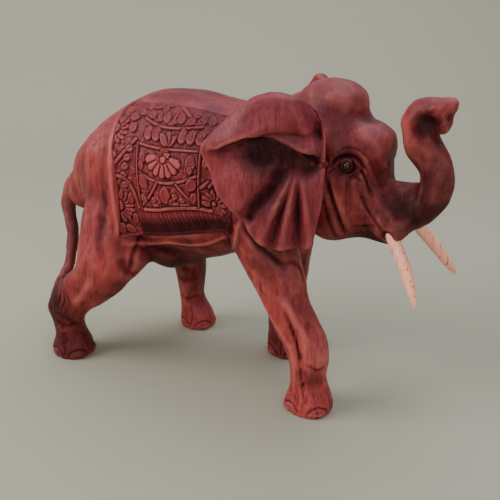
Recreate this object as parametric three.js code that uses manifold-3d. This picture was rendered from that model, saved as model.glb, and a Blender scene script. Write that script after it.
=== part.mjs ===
// Standing wooden elephant with a raised trunk, carved from one block, with pegged tusks,
// let-in ears, bead pupils and ear pins. Millimetres, +X towards the head, +Z up.
import * as THREE from "three";
import { mergeVertices } from "three/addons/utils/BufferGeometryUtils.js";
import Module from "manifold-3d";

const wasm = await Module();
wasm.setup();

// ---- Driving dimensions -------------------------------------------------------------------
// The stations below are drawn for a block of DRAWN size, and changing block stretches them
// all. The width is the belly's, and the ears stand out beyond it.
const DRAWN = { length: 319, width: 102, height: 230 };
const block = { length: 319, width: 102, height: 230 };

const gap = 0.3;              // clearance round every let-in piece
const head_turn = 12;         // degrees that the head looks to the elephant's right
const neck_x = 45;            // where the head's own frame turns, along the drawn block
const relief_depth = 1.8;     // how far the saddle cloth's ground lies below the flank
const tusk_root = 4.3;        // radius of a tusk where it leaves the cheek
const tusk_tip = 1.3;         // radius at its end
const tusk_tenon = 9;         // length of peg hidden in the cheek
const ear_thickness = 5;      // of the ear's blade
const ear_tongue = 4;         // how deep the ear's front edge is let into the cheek
const eyeball_radius = 5;
const pupil_radius = 2.5;     // bead set in the eyeball
const pupil_set = 1.4;        // how far the bead's middle lies below the eyeball's surface
const pin_radius = 1.8;       // pin that holds the ear's root
const pin_length = 8;
const pin_proud = 1.6;        // how far its head stands out of the temple

// ---- Materials ----------------------------------------------------------------------------
const rosewood = { color: 0x7a2f2a, roughness: 0.5, metalness: 0 };
const ear_wood = { color: 0x6e2a28, roughness: 0.5, metalness: 0 };
const tusk_wood = { color: 0xdcae8e, roughness: 0.55, metalness: 0 };
const bead_black = { color: 0x141010, roughness: 0.15, metalness: 0 };
const pin_wood = { color: 0x4a1c18, roughness: 0.55, metalness: 0 };

// ---- Solids -------------------------------------------------------------------------------
// inside_out says that the geometry was mirrored, so its faces have to be turned round.
function solid(geometry, inside_out = false) {
  geometry.deleteAttribute("normal");
  geometry.deleteAttribute("uv");
  const merged = mergeVertices(geometry, 1e-4);
  const triangles = new Uint32Array(merged.index.array);
  const mesh = new wasm.Mesh({
    numProp: 3,
    vertProperties: new Float32Array(merged.attributes.position.array),
    triVerts: inside_out ? triangles.reverse() : triangles,
  });
  return new wasm.Manifold(mesh);
}

function add_all(pieces) {
  return pieces.reduce((whole, piece) => whole.add(piece));
}

// A closed round-ended form along a smooth line. A station is [x, y, z, half width, half depth]:
// the width lies across the animal, and the depth square to both the width and the line.
function limb(stations, { sides = 14, steps = 2, square = 2, side = [0, 1, 0], grow = 0 } = {}) {
  const line = new THREE.CatmullRomCurve3(stations.map(([x, y, z]) => new THREE.Vector3(x, y, z)));
  const girth = new THREE.CatmullRomCurve3(
    stations.map(([, , , wide, deep]) => new THREE.Vector3(wide + grow, deep + grow, 0)));
  const cap_rows = 3;
  const body_rows = (stations.length - 1) * steps;
  const rows = body_rows + 2 * cap_rows;
  const geometry = new THREE.SphereGeometry(1, sides, rows);
  const position = geometry.attributes.position;
  const across = new THREE.Vector3(...side).normalize();
  const point = new THREE.Vector3();
  for (let i = 0; i < position.count; i += 1) {
    point.fromBufferAttribute(position, i);
    const row = Math.acos(THREE.MathUtils.clamp(point.y, -1, 1)) / Math.PI * rows;
    const turn = Math.atan2(point.z, -point.x);
    const t = THREE.MathUtils.clamp((row - cap_rows) / body_rows, 0, 1);
    const cap = Math.max(cap_rows - row, row - cap_rows - body_rows, 0) / cap_rows * Math.PI / 2;
    const outward = row < cap_rows ? -1 : 1;
    const tangent = line.getTangent(t);
    const up = across.clone().cross(tangent).normalize();
    const { x: wide, y: deep } = girth.getPoint(t);
    const round = (value) => Math.sign(value) * Math.abs(value) ** (2 / square);
    const centre = line.getPoint(t);
    centre.addScaledVector(tangent, outward * Math.sin(cap) * Math.min(wide, deep));
    centre.addScaledVector(across, round(Math.cos(turn)) * Math.cos(cap) * wide);
    centre.addScaledVector(up, round(Math.sin(turn)) * Math.cos(cap) * deep);
    position.setXYZ(i, centre.x, centre.y, centre.z);
  }
  return geometry;
}

// Head pieces are drawn forward from the neck, with y = 0 on the face's middle line.
function on_head(geometry) {
  return geometry.rotateZ(THREE.MathUtils.degToRad(-head_turn)).translate(neck_x, 0, 0);
}

function stretched(geometry) {
  return geometry.scale(
    block.length / DRAWN.length, block.width / DRAWN.width, block.height / DRAWN.height);
}

const body_form = (stations, options) => solid(stretched(limb(stations, options)));
const head_form = (stations, options) => solid(stretched(on_head(limb(stations, options))));
const on_side = (stations, side) => stations.map(([x, y, ...rest]) => [x, y * side, ...rest]);

// ---- Body ---------------------------------------------------------------------------------
const torso_line = [
  [-130, 0, 131, 19, 21],
  [-116, 0, 139, 30, 33],
  [-92, 0, 147, 43, 47],
  [-57, 0, 151, 50, 59],
  [-15, 0, 152, 51, 59],
  [22, 0, 161, 46, 49],
  [44, -2, 168, 34, 38],
];
const neck_line = [
  [18, 0, 169, 40, 41],
  [42, -3, 171, 31, 35],
  [56, -5, 172, 26, 30],
];
const near_hind_line = [
  [-86, -24, 130, 24, 30],
  [-85, -34, 102, 20, 27],
  [-99, -41, 75, 17, 23],
  [-122, -43, 52, 15, 17],
  [-131, -44, 34, 12.5, 13.5],
  [-130, -44, 20, 12.5, 12],
  [-128, -44, 7, 15.5, 16],
  [-128, -44, -4, 16, 16.5],
];
const near_fore_line = [
  [24, -22, 150, 26, 34],
  [42, -31, 112, 18, 22],
  [56, -34, 84, 15, 17.5],
  [68, -35, 60, 14, 17],
  [72, -35, 42, 14, 15],
  [74, -34, 24, 13, 13],
  [76, -34, 9, 16, 16],
  [76, -34, -4, 17, 17.5],
];
const far_fore_line = [
  [20, 22, 150, 26, 34],
  [30, 30, 112, 19, 22],
  [30, 33, 84, 16, 18],
  [29, 33, 60, 15, 16],
  [28, 33, 34, 13, 13.5],
  [31, 33, 10, 16, 16.5],
  [32, 33, -4, 17, 18],
];
const far_hind_line = [
  [-84, 24, 132, 26, 36],
  [-72, 34, 104, 19, 24],
  [-67, 41, 74, 16, 16],
  [-65, 43, 46, 13, 13],
  [-65, 44, 24, 12, 10.5],
  [-61, 44, 8, 15, 14.5],
  [-60, 44, -4, 16, 16],
];
const tail_line = [
  [-132, 0, 140, 7, 7],
  [-149, -1, 130, 5.5, 5.5],
  [-153, -4, 108, 4.4, 4.4],
  [-151, -10, 88, 4, 4],
  [-145, -20, 70, 4.3, 4.3],
  [-145, -32, 54, 6, 6.5],
  [-141, -38, 42, 5, 5],
];

// ---- Head ---------------------------------------------------------------------------------
const skull_line = [
  [32, 0, 146, 24, 26],
  [32, 0, 162, 30, 31],
  [31, 0, 180, 31.5, 31],
  [30, 0, 200, 28, 26],
  [30, 0, 210, 20.5, 20],
];
const nape_line = [
  [22, 0, 196, 22, 20],
  [0, 0, 193, 24, 21],
  [-24, 0, 186, 26, 20],
];
const trunk_line = [
  [42, 0, 158, 28, 24],
  [64, 0, 152, 23, 19],
  [82, 0, 151, 16, 14],
  [96, 0, 157, 11.5, 11.5],
  [104, 0, 169, 10, 10.5],
  [103, 0, 182, 9.5, 10],
  [96, 0, 194, 9.5, 9.5],
  [91, 0, 206, 9.5, 9.5],
  [94, 0, 215, 9, 8],
  [104, 0, 217, 8.5, 7],
];
const brow_line = [
  [48, 0, 150, 26, 22],
  [53, 0, 172, 26, 20],
  [53, 0, 188, 22, 17],
];
const jaw_line = [
  [28, 0, 144, 20, 14],
  [54, 0, 139, 16, 10],
  [74, 0, 135, 10, 7],
];

// A tusk leaves the cheek low beside the trunk, and spreads and droops towards its point.
const tusk_line = [
  [86, -17, 140, tusk_root, tusk_root],
  [100, -24, 122.5, tusk_root * 0.92, tusk_root * 0.92],
  [107, -28.5, 112, tusk_root * 0.72, tusk_root * 0.72],
  [111, -31.5, 105, tusk_tip, tusk_tip],
];

// The tenon runs straight back along the line that the tusk leaves the cheek on.
function tusk_stations() {
  const leaves = new THREE.Vector3(...tusk_line[0]);
  const along = leaves.clone().sub(new THREE.Vector3(...tusk_line[1])).normalize();
  const buried = leaves.clone().addScaledVector(along, tusk_tenon);
  return [[buried.x, buried.y, buried.z, tusk_root, tusk_root], ...tusk_line];
}

// ---- Ear ----------------------------------------------------------------------------------
// The ear is drawn flat: the first number runs back from its front edge, the second is the
// height. Its rolled top fold stands proud on the outer face.
const ear_outline = [
  [-ear_tongue, 160], [-ear_tongue, 200], [4, 212], [14, 219], [28, 222], [42, 218], [56, 208], [70, 196],
  [75, 187], [67, 173], [60, 157], [51, 144], [41, 133], [28, 127], [12, 129], [1, 137],
];
const ear_fold_line = [
  [6, 2, 207, 5, 8],
  [22, 3, 211, 6, 10],
  [36, 3, 210, 7, 10.5],
  [50, 3, 202, 6, 9.5],
  [62, 2, 194, 4.5, 7],
  [69, 1, 188, 3, 4],
];
// Where the front edges of the two ears meet the head: forward, outward, and raised.
const ear_front = { right: [40, 32, 0], left: [19, 32, 3.5] };
const ear_spread = 28;                 // degrees that it stands out from the head's line

// side is -1 for the elephant's right and 1 for its left.
const front_of_ear = (side) => (side < 0 ? ear_front.right : ear_front.left);

function ear_solid(side, grow = 0) {
  const shape = new THREE.Shape();
  const edge = ear_outline.map(([back, height]) => new THREE.Vector2(back, height));
  shape.moveTo(edge[0].x, edge[0].y);
  shape.splineThru([...edge.slice(1), edge[0]]);
  const bevel = 1.2;
  const blade = new THREE.ExtrudeGeometry(shape, {
    depth: ear_thickness - 2 * bevel + 2 * grow, bevelThickness: bevel, bevelSize: bevel,
    bevelOffset: grow - bevel, bevelSegments: 1, curveSegments: 2,
  });
  blade.translate(0, 0, bevel - ear_thickness / 2 - grow).rotateX(Math.PI / 2);
  const fold = limb(ear_fold_line, { sides: 12, grow });
  const place = (geometry) => {
    geometry.scale(-1, side, 1);
    geometry.rotateZ(THREE.MathUtils.degToRad(-side * ear_spread));
    const [forward, out, raised] = front_of_ear(side);
    geometry.translate(forward, side * out, raised);
    return solid(stretched(on_head(geometry)), side > 0);
  };
  return place(blade).add(place(fold));
}

// ---- Eyes and ear pins --------------------------------------------------------------------
const eye = { middle: [54, 21, 181], faces: [0.5, 1, 0.05] };

// The pin goes in just behind the ear's front edge.
function pin_place(side) {
  const [forward, out] = front_of_ear(side);
  return { middle: [forward + 2, out - 1, 181], faces: [0, 1, 0] };
}

// A point and a direction on the head, for side -1 (the elephant's right) or 1 (its left).
function spot({ middle, faces }, side, out = 0) {
  const facing = new THREE.Vector3(faces[0], faces[1] * side, faces[2]).normalize();
  const point = new THREE.Vector3(middle[0], middle[1] * side, middle[2]);
  return { facing, point: point.addScaledVector(facing, out) };
}

// A round peg that ends proud of its spot and runs inwards for its length.
function peg(place, radius, length, proud, side) {
  const geometry = new THREE.CylinderGeometry(radius, radius, length, 16);
  const { facing, point } = spot(place, side, proud - length / 2);
  geometry.applyQuaternion(new THREE.Quaternion().setFromUnitVectors(THREE.Object3D.DEFAULT_UP, facing));
  geometry.translate(point.x, point.y, point.z);
  return solid(stretched(on_head(geometry)));
}

function ball(place, radius, out, side) {
  const { point } = spot(place, side, out);
  const geometry = new THREE.SphereGeometry(radius, 16, 10).translate(point.x, point.y, point.z);
  return solid(stretched(on_head(geometry)));
}

const eyeball = (side) => ball(eye, eyeball_radius, 0, side);
const pupil_solid = (side) => ball(eye, pupil_radius, eyeball_radius - pupil_set, side);
const pin_solid = (side) => peg(pin_place(side), pin_radius, pin_length, pin_proud, side);

// The drilled seat of a pupil, with clearance round the bead and below it.
function pupil_seat(side) {
  const depth = pupil_set + pupil_radius + gap;
  return peg(eye, pupil_radius + gap, 2 * eyeball_radius, 3 * eyeball_radius - depth, side);
}

// A pin goes through the tongue of its ear into the head, so its hole is drilled through both.
function pin_hole(side) {
  const depth = pin_length - pin_proud + gap;
  return peg(pin_place(side), pin_radius + gap, 2 * pin_length, 2 * pin_length - depth, side);
}

function tusk_solid(side, grow = 0) {
  return head_form(on_side(tusk_stations(), side), { sides: 12, grow });
}

// ---- Body carving -------------------------------------------------------------------------
const saddle_outline = [
  [-66, 112], [-70, 150], [-69, 186], [-60, 199], [14, 199], [22, 186], [22, 132],
];

// The saddle cloth's ground: the flank between the torso and a slightly smaller torso.
function saddle_ground() {
  const edge = saddle_outline.map(([x, z]) => new THREE.Vector2(x, z));
  const through = DRAWN.width + 40;
  const panel = new THREE.ExtrudeGeometry(new THREE.Shape(edge), { depth: through, bevelEnabled: false });
  panel.translate(0, 0, -through / 2).rotateX(Math.PI / 2);
  const core = body_form(torso_line, { sides: 22, square: 2.2, grow: -relief_depth });
  return solid(stretched(panel)).subtract(core);
}

function body_solid() {
  const torso = body_form(torso_line, { sides: 22, square: 2.2 }).subtract(saddle_ground());
  const legs = [
    body_form(near_hind_line), body_form(near_fore_line),
    body_form(far_fore_line), body_form(far_hind_line),
  ];
  const head = [
    head_form(skull_line, { sides: 18, square: 2.2 }), head_form(trunk_line, { steps: 3 }),
    head_form(jaw_line), head_form(brow_line), head_form(nape_line), eyeball(-1), eyeball(1),
  ];
  let body = add_all([torso, body_form(neck_line, { sides: 18 }), ...legs, ...head]);
  body = body.add(body_form(tail_line, { sides: 8, steps: 3 }));
  const under = new THREE.BoxGeometry(2 * block.length, 4 * block.width, block.height);
  body = body.subtract(solid(under.translate(0, 0, -block.height / 2)));
  for (const side of [-1, 1]) {
    body = body.subtract(ear_solid(side, gap)).subtract(tusk_solid(side, gap));
    body = body.subtract(pupil_seat(side)).subtract(pin_hole(side));
  }
  return body;
}

// ---- Scene --------------------------------------------------------------------------------
function mesh_of(name, manifold, look) {
  const { vertProperties, triVerts } = manifold.getMesh();
  const geometry = new THREE.BufferGeometry();
  geometry.setAttribute("position", new THREE.BufferAttribute(vertProperties, 3));
  geometry.setIndex(new THREE.BufferAttribute(triVerts, 1));
  geometry.computeVertexNormals();
  const mesh = new THREE.Mesh(geometry, new THREE.MeshStandardMaterial(look));
  mesh.name = name;
  return mesh;
}

const elephant = new THREE.Group();
elephant.add(mesh_of("body_carving", body_solid(), rosewood));
for (const [side, hand] of [[-1, "right"], [1, "left"]]) {
  elephant.add(mesh_of(`ear_${hand}`, ear_solid(side).subtract(pin_hole(side)), ear_wood));
  elephant.add(mesh_of(`tusk_${hand}`, tusk_solid(side), tusk_wood));
  elephant.add(mesh_of(`pupil_${hand}`, pupil_solid(side), bead_black));
  elephant.add(mesh_of(`ear_pin_${hand}`, pin_solid(side), pin_wood));
}

// The origin is on the ground, below the middle of the whole elephant's box.
const box = new THREE.Box3().setFromObject(elephant);
const middle = box.getCenter(new THREE.Vector3());
elephant.position.set(-middle.x, -middle.y, -box.min.z);

export default elephant;
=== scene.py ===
# %% [markdown]
# A standing wooden elephant with a raised trunk, carved by hand from one block of dark red
# hardwood. The ears are let in at the cheeks and pinned, the tusks are pegs of pale wood, and
# the pupils are black beads. The saddle cloth is carved in the flanks in low relief.
# The packed model gives every place and size. Here the rough solids become carved wood: each
# is remeshed finely, smoothed, and then cut with strokes like those of a gouge and a knife.

# %% Load the packed model
import math
from functools import partial

import bmesh
import bpy
import numpy as np
from mathutils import Matrix, Vector
from mathutils.bvhtree import BVHTree
from mathutils.kdtree import KDTree


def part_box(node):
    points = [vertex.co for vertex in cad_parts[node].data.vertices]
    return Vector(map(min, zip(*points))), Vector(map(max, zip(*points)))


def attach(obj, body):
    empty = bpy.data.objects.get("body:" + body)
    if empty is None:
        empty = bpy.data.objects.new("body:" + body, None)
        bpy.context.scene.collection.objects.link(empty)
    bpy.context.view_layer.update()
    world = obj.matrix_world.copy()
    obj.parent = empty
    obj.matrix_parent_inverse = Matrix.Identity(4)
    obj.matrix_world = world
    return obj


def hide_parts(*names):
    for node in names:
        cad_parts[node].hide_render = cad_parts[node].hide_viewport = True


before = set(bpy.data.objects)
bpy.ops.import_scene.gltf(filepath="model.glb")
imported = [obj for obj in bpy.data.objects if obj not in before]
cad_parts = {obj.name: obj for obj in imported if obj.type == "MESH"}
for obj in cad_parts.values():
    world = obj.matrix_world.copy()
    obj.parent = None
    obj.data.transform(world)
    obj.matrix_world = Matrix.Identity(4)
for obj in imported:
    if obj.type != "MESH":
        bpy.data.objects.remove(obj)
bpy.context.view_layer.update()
MM = 0.001

# %% [markdown]
# A carver works from a drawing on the side of the block, and the strokes below are placed the
# same way, in millimetres. The body's drawing has x from tail to head and z up from the
# ground. The head looks 12 degrees to the elephant's right, so it has a drawing of its own,
# which runs forward from the neck. The two pupils are the only small round marks whose places
# are known exactly in both, so both drawings are hung on them.

# %% The two drawings
RIGHT, LEFT = -1, 1
SIDES = {"right": RIGHT, "left": LEFT}
UP = np.array([0.0, 0.0, 1.0])
TO_LEFT = np.array([0.0, 1.0, 0.0])
HEAD_TURN = math.radians(12)
FORWARD = np.array([math.cos(HEAD_TURN), -math.sin(HEAD_TURN), 0.0])
SIDEWAYS = np.array([math.sin(HEAD_TURN), math.cos(HEAD_TURN), 0.0])
PUPIL_FORWARD = 55.6     # how far in front of the neck the pupils are
NECK_X = 45.0            # the neck's x on the body's drawing

pupils = np.mean([np.mean(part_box(f"pupil_{hand}"), axis=0) for hand in SIDES], axis=0)
neck_at = (pupils - PUPIL_FORWARD * MM * FORWARD) * [1, 1, 0]


def on_body(x, y, z):
    """A point of the body's drawing. y is measured from the backbone, to the elephant's left."""
    return neck_at + np.array([x - NECK_X, y, z]) * MM


def on_head(forward, out, z):
    """A point of the head's drawing, out being to the elephant's left."""
    return neck_at + (forward * FORWARD + out * SIDEWAYS + z * UP) * MM


print("neck at", np.round(neck_at, 4))

# %% [markdown]
# The camera stands a little in front of the elephant's right side and looks down at it from
# about half a metre away, so the near legs look bigger than the far ones. A plain pale sheet
# lies on the floor and rises in a soft curve behind. The light is a broad soft one from above,
# as on a cloudy day by a window, with weaker ones at the sides to open the shadows.

# %% Camera
CAMERA_TURN = math.radians(25.56)
CAMERA_DOWN = math.radians(21.95)
CAMERA_PLACE = on_body(211.6, -422.1, 286.9)
camera_data = bpy.data.cameras.new("camera")
camera_data.lens = 48.24
camera_data.sensor_width = 36.0
camera_data.shift_x = 0.006
camera_data.clip_start = 0.01
camera = bpy.data.objects.new("camera", camera_data)
camera.location = Vector(CAMERA_PLACE)
camera.rotation_euler = (math.pi / 2 - CAMERA_DOWN, 0.0, CAMERA_TURN)
bpy.context.scene.collection.objects.link(camera)
bpy.context.scene.camera = camera
print("camera lens", round(camera_data.lens, 1), "mm, place", np.round(CAMERA_PLACE, 3))


# %% Floor and lights
def smooth_shading(mesh):
    mesh.polygons.foreach_set("use_smooth", [True] * len(mesh.polygons))


def new_piece(name, bm):
    """A smooth object from a bmesh, with its faces turned outwards."""
    bmesh.ops.recalc_face_normals(bm, faces=bm.faces)
    mesh = bpy.data.meshes.new(name)
    bm.to_mesh(mesh)
    bm.free()
    smooth_shading(mesh)
    piece = bpy.data.objects.new(name, mesh)
    bpy.context.scene.collection.objects.link(piece)
    return piece


SHEET_HALF_WIDTH = 2.5
SHEET_HALF_LENGTH = 2.2
BEND_START = 0.55        # how far behind the elephant the sheet starts to rise, in metres
BEND_LENGTH = 0.6
BEND_RISE = 0.9


def add_sheet(name, colour):
    """A wide floor that curves up into a wall far behind the elephant."""
    bm = bmesh.new()
    bmesh.ops.create_grid(bm, x_segments=2, y_segments=48, size=1.0)
    for vert in bm.verts:
        across = vert.co.x * SHEET_HALF_WIDTH
        along = vert.co.y * SHEET_HALF_LENGTH
        past = max(0.0, along - BEND_START)
        back = min(along, BEND_START + BEND_LENGTH * math.tanh(past / BEND_LENGTH))
        vert.co = Vector((across, back, past ** 2 * BEND_RISE))
    bmesh.ops.rotate(bm, verts=bm.verts, matrix=Matrix.Rotation(CAMERA_TURN, 3, "Z"))
    sheet = new_piece(name, bm)
    material = bpy.data.materials.new(name)
    material.use_nodes = True
    shader = material.node_tree.nodes["Principled BSDF"]
    shader.inputs["Base Color"].default_value = colour
    shader.inputs["Roughness"].default_value = 0.9
    sheet.data.materials.append(material)
    return sheet


def add_light(name, place, size, power, colour):
    """A square lamp that faces the elephant's middle."""
    light = bpy.data.lights.new(name, "AREA")
    light.shape = "SQUARE"
    light.size = size
    light.energy = power
    light.color = colour
    lamp = bpy.data.objects.new(name, light)
    lamp.location = place
    lamp.rotation_euler = (ELEPHANT_MIDDLE - Vector(place)).to_track_quat("-Z", "Y").to_euler()
    bpy.context.scene.collection.objects.link(lamp)
    return lamp


ELEPHANT_MIDDLE = Vector((0.0, 0.0, 0.12))
floor = add_sheet("floor_sheet", (0.38, 0.37, 0.29, 1.0))
add_light("window", (0.15, 0.3, 1.3), 1.2, 15, (0.90, 0.93, 1.0))
add_light("left_lamp", (-1.1, -0.75, 0.9), 0.9, 22, (1.0, 0.96, 0.92))
add_light("front_fill", (0.9, -1.0, 0.5), 1.2, 9, (1.0, 0.95, 0.92))
world = bpy.data.worlds.new("room")
world.use_nodes = True
world.node_tree.nodes["Background"].inputs["Color"].default_value = (0.80, 0.84, 0.86, 1.0)
world.node_tree.nodes["Background"].inputs["Strength"].default_value = 0.26
bpy.context.scene.world = world
print("floor and three lights")

# %% [markdown]
# The CAD solids are coarse, so each is turned into fine even clay first: a merged copy is
# remeshed in small cells, and the cells are relaxed until the joints between the limbs flow.
# Blender's Remesh modifier in voxel mode does this, and it joins everything into one skin.
# Subdividing the solid would keep its creases, and sculpting by hand couldn't be repeated.


# %% Fine clay from a rough solid
def fine_copy(node, name, cell):
    """A new object with the node's shape as one even skin. cell is in millimetres."""
    bm = bmesh.new()
    bm.from_mesh(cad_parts[node].data)
    bmesh.ops.remove_doubles(bm, verts=bm.verts, dist=1e-6)
    mesh = bpy.data.meshes.new(name)
    bm.to_mesh(mesh)
    bm.free()
    piece = bpy.data.objects.new(name, mesh)
    bpy.context.scene.collection.objects.link(piece)
    remesh = piece.modifiers.new("cells", "REMESH")
    remesh.mode = "VOXEL"
    remesh.voxel_size = cell * MM
    remesh.use_smooth_shade = True
    ready = piece.evaluated_get(bpy.context.evaluated_depsgraph_get())
    piece.data = bpy.data.meshes.new_from_object(ready)
    piece.modifiers.clear()
    piece.data.name = name
    return piece


def relax(piece, rounds, where=None):
    """Smooth the skin, all of it or where a test on the points says so."""
    bm = bmesh.new()
    bm.from_mesh(piece.data)
    verts = bm.verts[:] if where is None else [v for v, yes in zip(bm.verts, where) if yes]
    for _ in range(rounds):
        bmesh.ops.smooth_vert(bm, verts=verts, factor=0.5, use_axis_x=True, use_axis_y=True,
                              use_axis_z=True)
    bm.to_mesh(piece.data)
    bm.free()


def points_of(piece):
    points = np.empty(len(piece.data.vertices) * 3)
    piece.data.vertices.foreach_get("co", points)
    return points.reshape(-1, 3)


def normals_of(piece):
    normals = np.empty(len(piece.data.vertices) * 3)
    piece.data.vertices.foreach_get("normal", normals)
    return normals.reshape(-1, 3)


def set_points(piece, points):
    piece.data.vertices.foreach_set("co", points.ravel())
    piece.data.update()


def near(piece, balls):
    """Which points lie in any of the balls, each a centre and a radius in millimetres."""
    points = points_of(piece)
    found = np.zeros(len(points), bool)
    for centre, radius in balls:
        found |= np.linalg.norm(points - centre, axis=1) < radius * MM
    return found


def split_near(piece, balls):
    """Cut the cells that lie in the balls in four, for finer strokes there."""
    found = near(piece, balls)
    bm = bmesh.new()
    bm.from_mesh(piece.data)
    bm.edges.ensure_lookup_table()
    edges = [e for e in bm.edges if found[e.verts[0].index] and found[e.verts[1].index]]
    bmesh.ops.subdivide_edges(bm, edges=edges, cuts=1, use_grid_fill=True, smooth=0.0)
    bmesh.ops.triangulate(bm, faces=[f for f in bm.faces if len(f.verts) > 4])
    bm.to_mesh(piece.data)
    bm.free()
    smooth_shading(piece.data)


print("clay tools ready")

# %% [markdown]
# A stroke follows a line drawn on one side of the block. The line is thrown onto the skin, and
# every point near it moves in or out, most at the middle of the stroke. A positive depth cuts
# like a gouge, and a negative one leaves a ridge, where a carver would lower what is beside it.
# Cutting with solid tools and a Boolean would leave hard edges, and real wood has few of them.


# %% Strokes
def smooth_line(points, step=0.7):
    """A smooth line through a few points, stepped evenly, in metres."""
    points = np.array(points, float)
    ends = np.vstack([2 * points[0] - points[1], points, 2 * points[-1] - points[-2]])
    line = []
    for a, b, c, d in zip(ends, ends[1:], ends[2:], ends[3:]):
        count = max(2, int(np.linalg.norm(c - b) / (step * MM)))
        t = np.linspace(0, 1, count, endpoint=False)[:, None]
        line.append(0.5 * (2 * b + (c - a) * t + (2 * a - 5 * b + 4 * c - d) * t ** 2
                           + (3 * b - a - 3 * c + d) * t ** 3))
    line.append(points[-1:])
    return np.vstack(line)


def tree_of(points):
    """A search tree that finds the nearest of the points, and which one it is."""
    tree = KDTree(len(points))
    for number, point in enumerate(points):
        tree.insert(point, number)
    tree.balance()
    return tree


def gouge(share):
    """How deep a gouge cuts at a share of the stroke's half width from its middle."""
    return np.exp(-2.5 * share ** 2)


def knife(share):
    return np.clip(1 - share, 0, 1) ** 1.3


REACH = {gouge: 1.6, knife: 1.0}     # how far a cut is felt, in half widths
CELL_AREA = 2.4                      # what a cell of the skin covers, in square millimetres
DEEPEST_PLANE = 0.8 * MM
THROW_FROM = 0.05                    # how far before the drawing's line a throw starts, in metres
BATCH = 4000                         # how many points are measured at once, to save memory


class Carving:
    """A piece being carved: it holds the points, and gathers how far each has been cut."""

    def __init__(self, piece):
        self.piece = piece
        self.points = points_of(piece)
        self.normals = normals_of(piece)
        self.surface = BVHTree.FromObject(piece, bpy.context.evaluated_depsgraph_get())

    def throw(self, points, towards=None):
        """Throw points onto the skin, or set each on the nearest skin, and give the normals."""
        hits, facings = [], []
        for point in points:
            place = None
            if towards is not None:
                way = Vector(towards).normalized()
                place, facing, _, _ = self.surface.ray_cast(Vector(point) - way * THROW_FROM, way)
            if place is None:
                place, facing, _, _ = self.surface.find_nearest(Vector(point))
            hits.append(place)
            facings.append(facing)
        return np.array(hits), np.array(facings)

    def stroke(self, points, width, depth, towards=None, tool=gouge):
        """Cut along a line laid on the skin. width is half the stroke's, in millimetres."""
        line, facing = self.throw(smooth_line(points), towards)
        reach = width * MM * REACH[tool]
        low, high = line.min(axis=0) - reach, line.max(axis=0) + reach
        close = np.flatnonzero(np.all((self.points > low) & (self.points < high), axis=1))
        nearest = np.empty(len(close), int)
        distance = np.empty(len(close))
        for start in range(0, len(close), BATCH):
            batch = slice(start, start + BATCH)
            apart = np.linalg.norm(self.points[close[batch]][:, None] - line[None], axis=2)
            nearest[batch] = apart.argmin(axis=1)
            distance[batch] = apart.min(axis=1)
        strength = tool(distance / (width * MM)) * (distance < reach)
        strength *= np.sum(self.normals[close] * facing[nearest], axis=1) > 0.0
        along = nearest / max(1, len(line) - 1)
        strength *= np.clip(np.minimum(along, 1 - along) * 5 + 0.25, 0, 1)
        self.points[close] -= self.normals[close] * (strength * depth * MM)[:, None]
        return self

    def strokes(self, rows, draw, towards=None):
        """Cut a list of strokes, each with its points, half its width and its depth."""
        for points, width, depth in rows:
            self.stroke(draw(points), width, depth, towards)
        return self

    def dab(self, centre, towards, radius, depth, stretch=(1.0, 1.0)):
        """Press in (or raise, with a negative depth) one soft spot, wider along x or z."""
        place, facing = self.throw([centre], towards)
        apart = (self.points - place[0]) / MM
        along = np.cross(facing[0], UP)
        along /= np.linalg.norm(along)
        upward = np.cross(along, facing[0])
        across = np.hypot(apart @ along / stretch[0], apart @ upward / stretch[1])
        distance = np.hypot(across, apart @ facing[0]) / radius
        strength = gouge(distance) * (distance < REACH[gouge])
        strength *= self.normals @ facing[0] > 0.0
        self.points -= self.normals * (strength * depth * MM)[:, None]
        return self

    def fade(self, centre, radius):
        """1 in the middle of a ball, falling softly to 0 at its rim."""
        apart = np.linalg.norm(self.points - centre, axis=1) / (radius * MM)
        return np.clip(1 - apart ** 2, 0, 1) ** 2

    def swell(self, centre, radius, amount):
        """Fatten the skin in a ball."""
        self.points += self.normals * (self.fade(centre, radius) * amount * MM)[:, None]
        return self

    def pull(self, centre, radius, move):
        """Drag the skin in a ball by a vector in millimetres."""
        self.points += self.fade(centre, radius)[:, None] * np.array(move, float) * MM
        return self

    def slice_flat(self, place, facing, radius):
        """Slice off what stands beyond a plane, within a ball."""
        facing = facing / np.linalg.norm(facing)
        beyond = (self.points - place) @ facing
        inside = np.linalg.norm(self.points - place, axis=1) < radius * MM
        self.points -= facing * np.where(inside & (beyond > 0), beyond, 0)[:, None]
        return self

    def knife_planes(self, size, flatness, seed, where=None):
        """Flatten the skin in small planes about size millimetres wide, as a knife leaves it."""
        draw = np.random.default_rng(seed)
        planes = int(len(self.points) * CELL_AREA / size ** 2)
        chosen = draw.choice(len(self.points), planes, False)
        tree = tree_of(self.points[chosen])
        owner = np.array([tree.find(point)[1] for point in self.points])
        count = np.bincount(owner, minlength=len(chosen))[:, None] + 1e-9
        middles = np.stack([np.bincount(owner, self.points[:, k], len(chosen)) for k in range(3)], 1)
        facing = np.stack([np.bincount(owner, self.normals[:, k], len(chosen)) for k in range(3)], 1)
        facing /= np.linalg.norm(facing, axis=1)[:, None] + 1e-9
        lift = np.sum((middles / count)[owner] * facing[owner], axis=1)
        lift -= np.sum(self.points * facing[owner], axis=1)
        lift = np.clip(lift, -DEEPEST_PLANE, DEEPEST_PLANE)
        amount = flatness if where is None else flatness * where
        self.points += facing[owner] * (lift * amount)[:, None]
        return self

    def done(self):
        set_points(self.piece, self.points)
        return self.piece


print("carving tools:", [tool.__name__ for tool in REACH])
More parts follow.
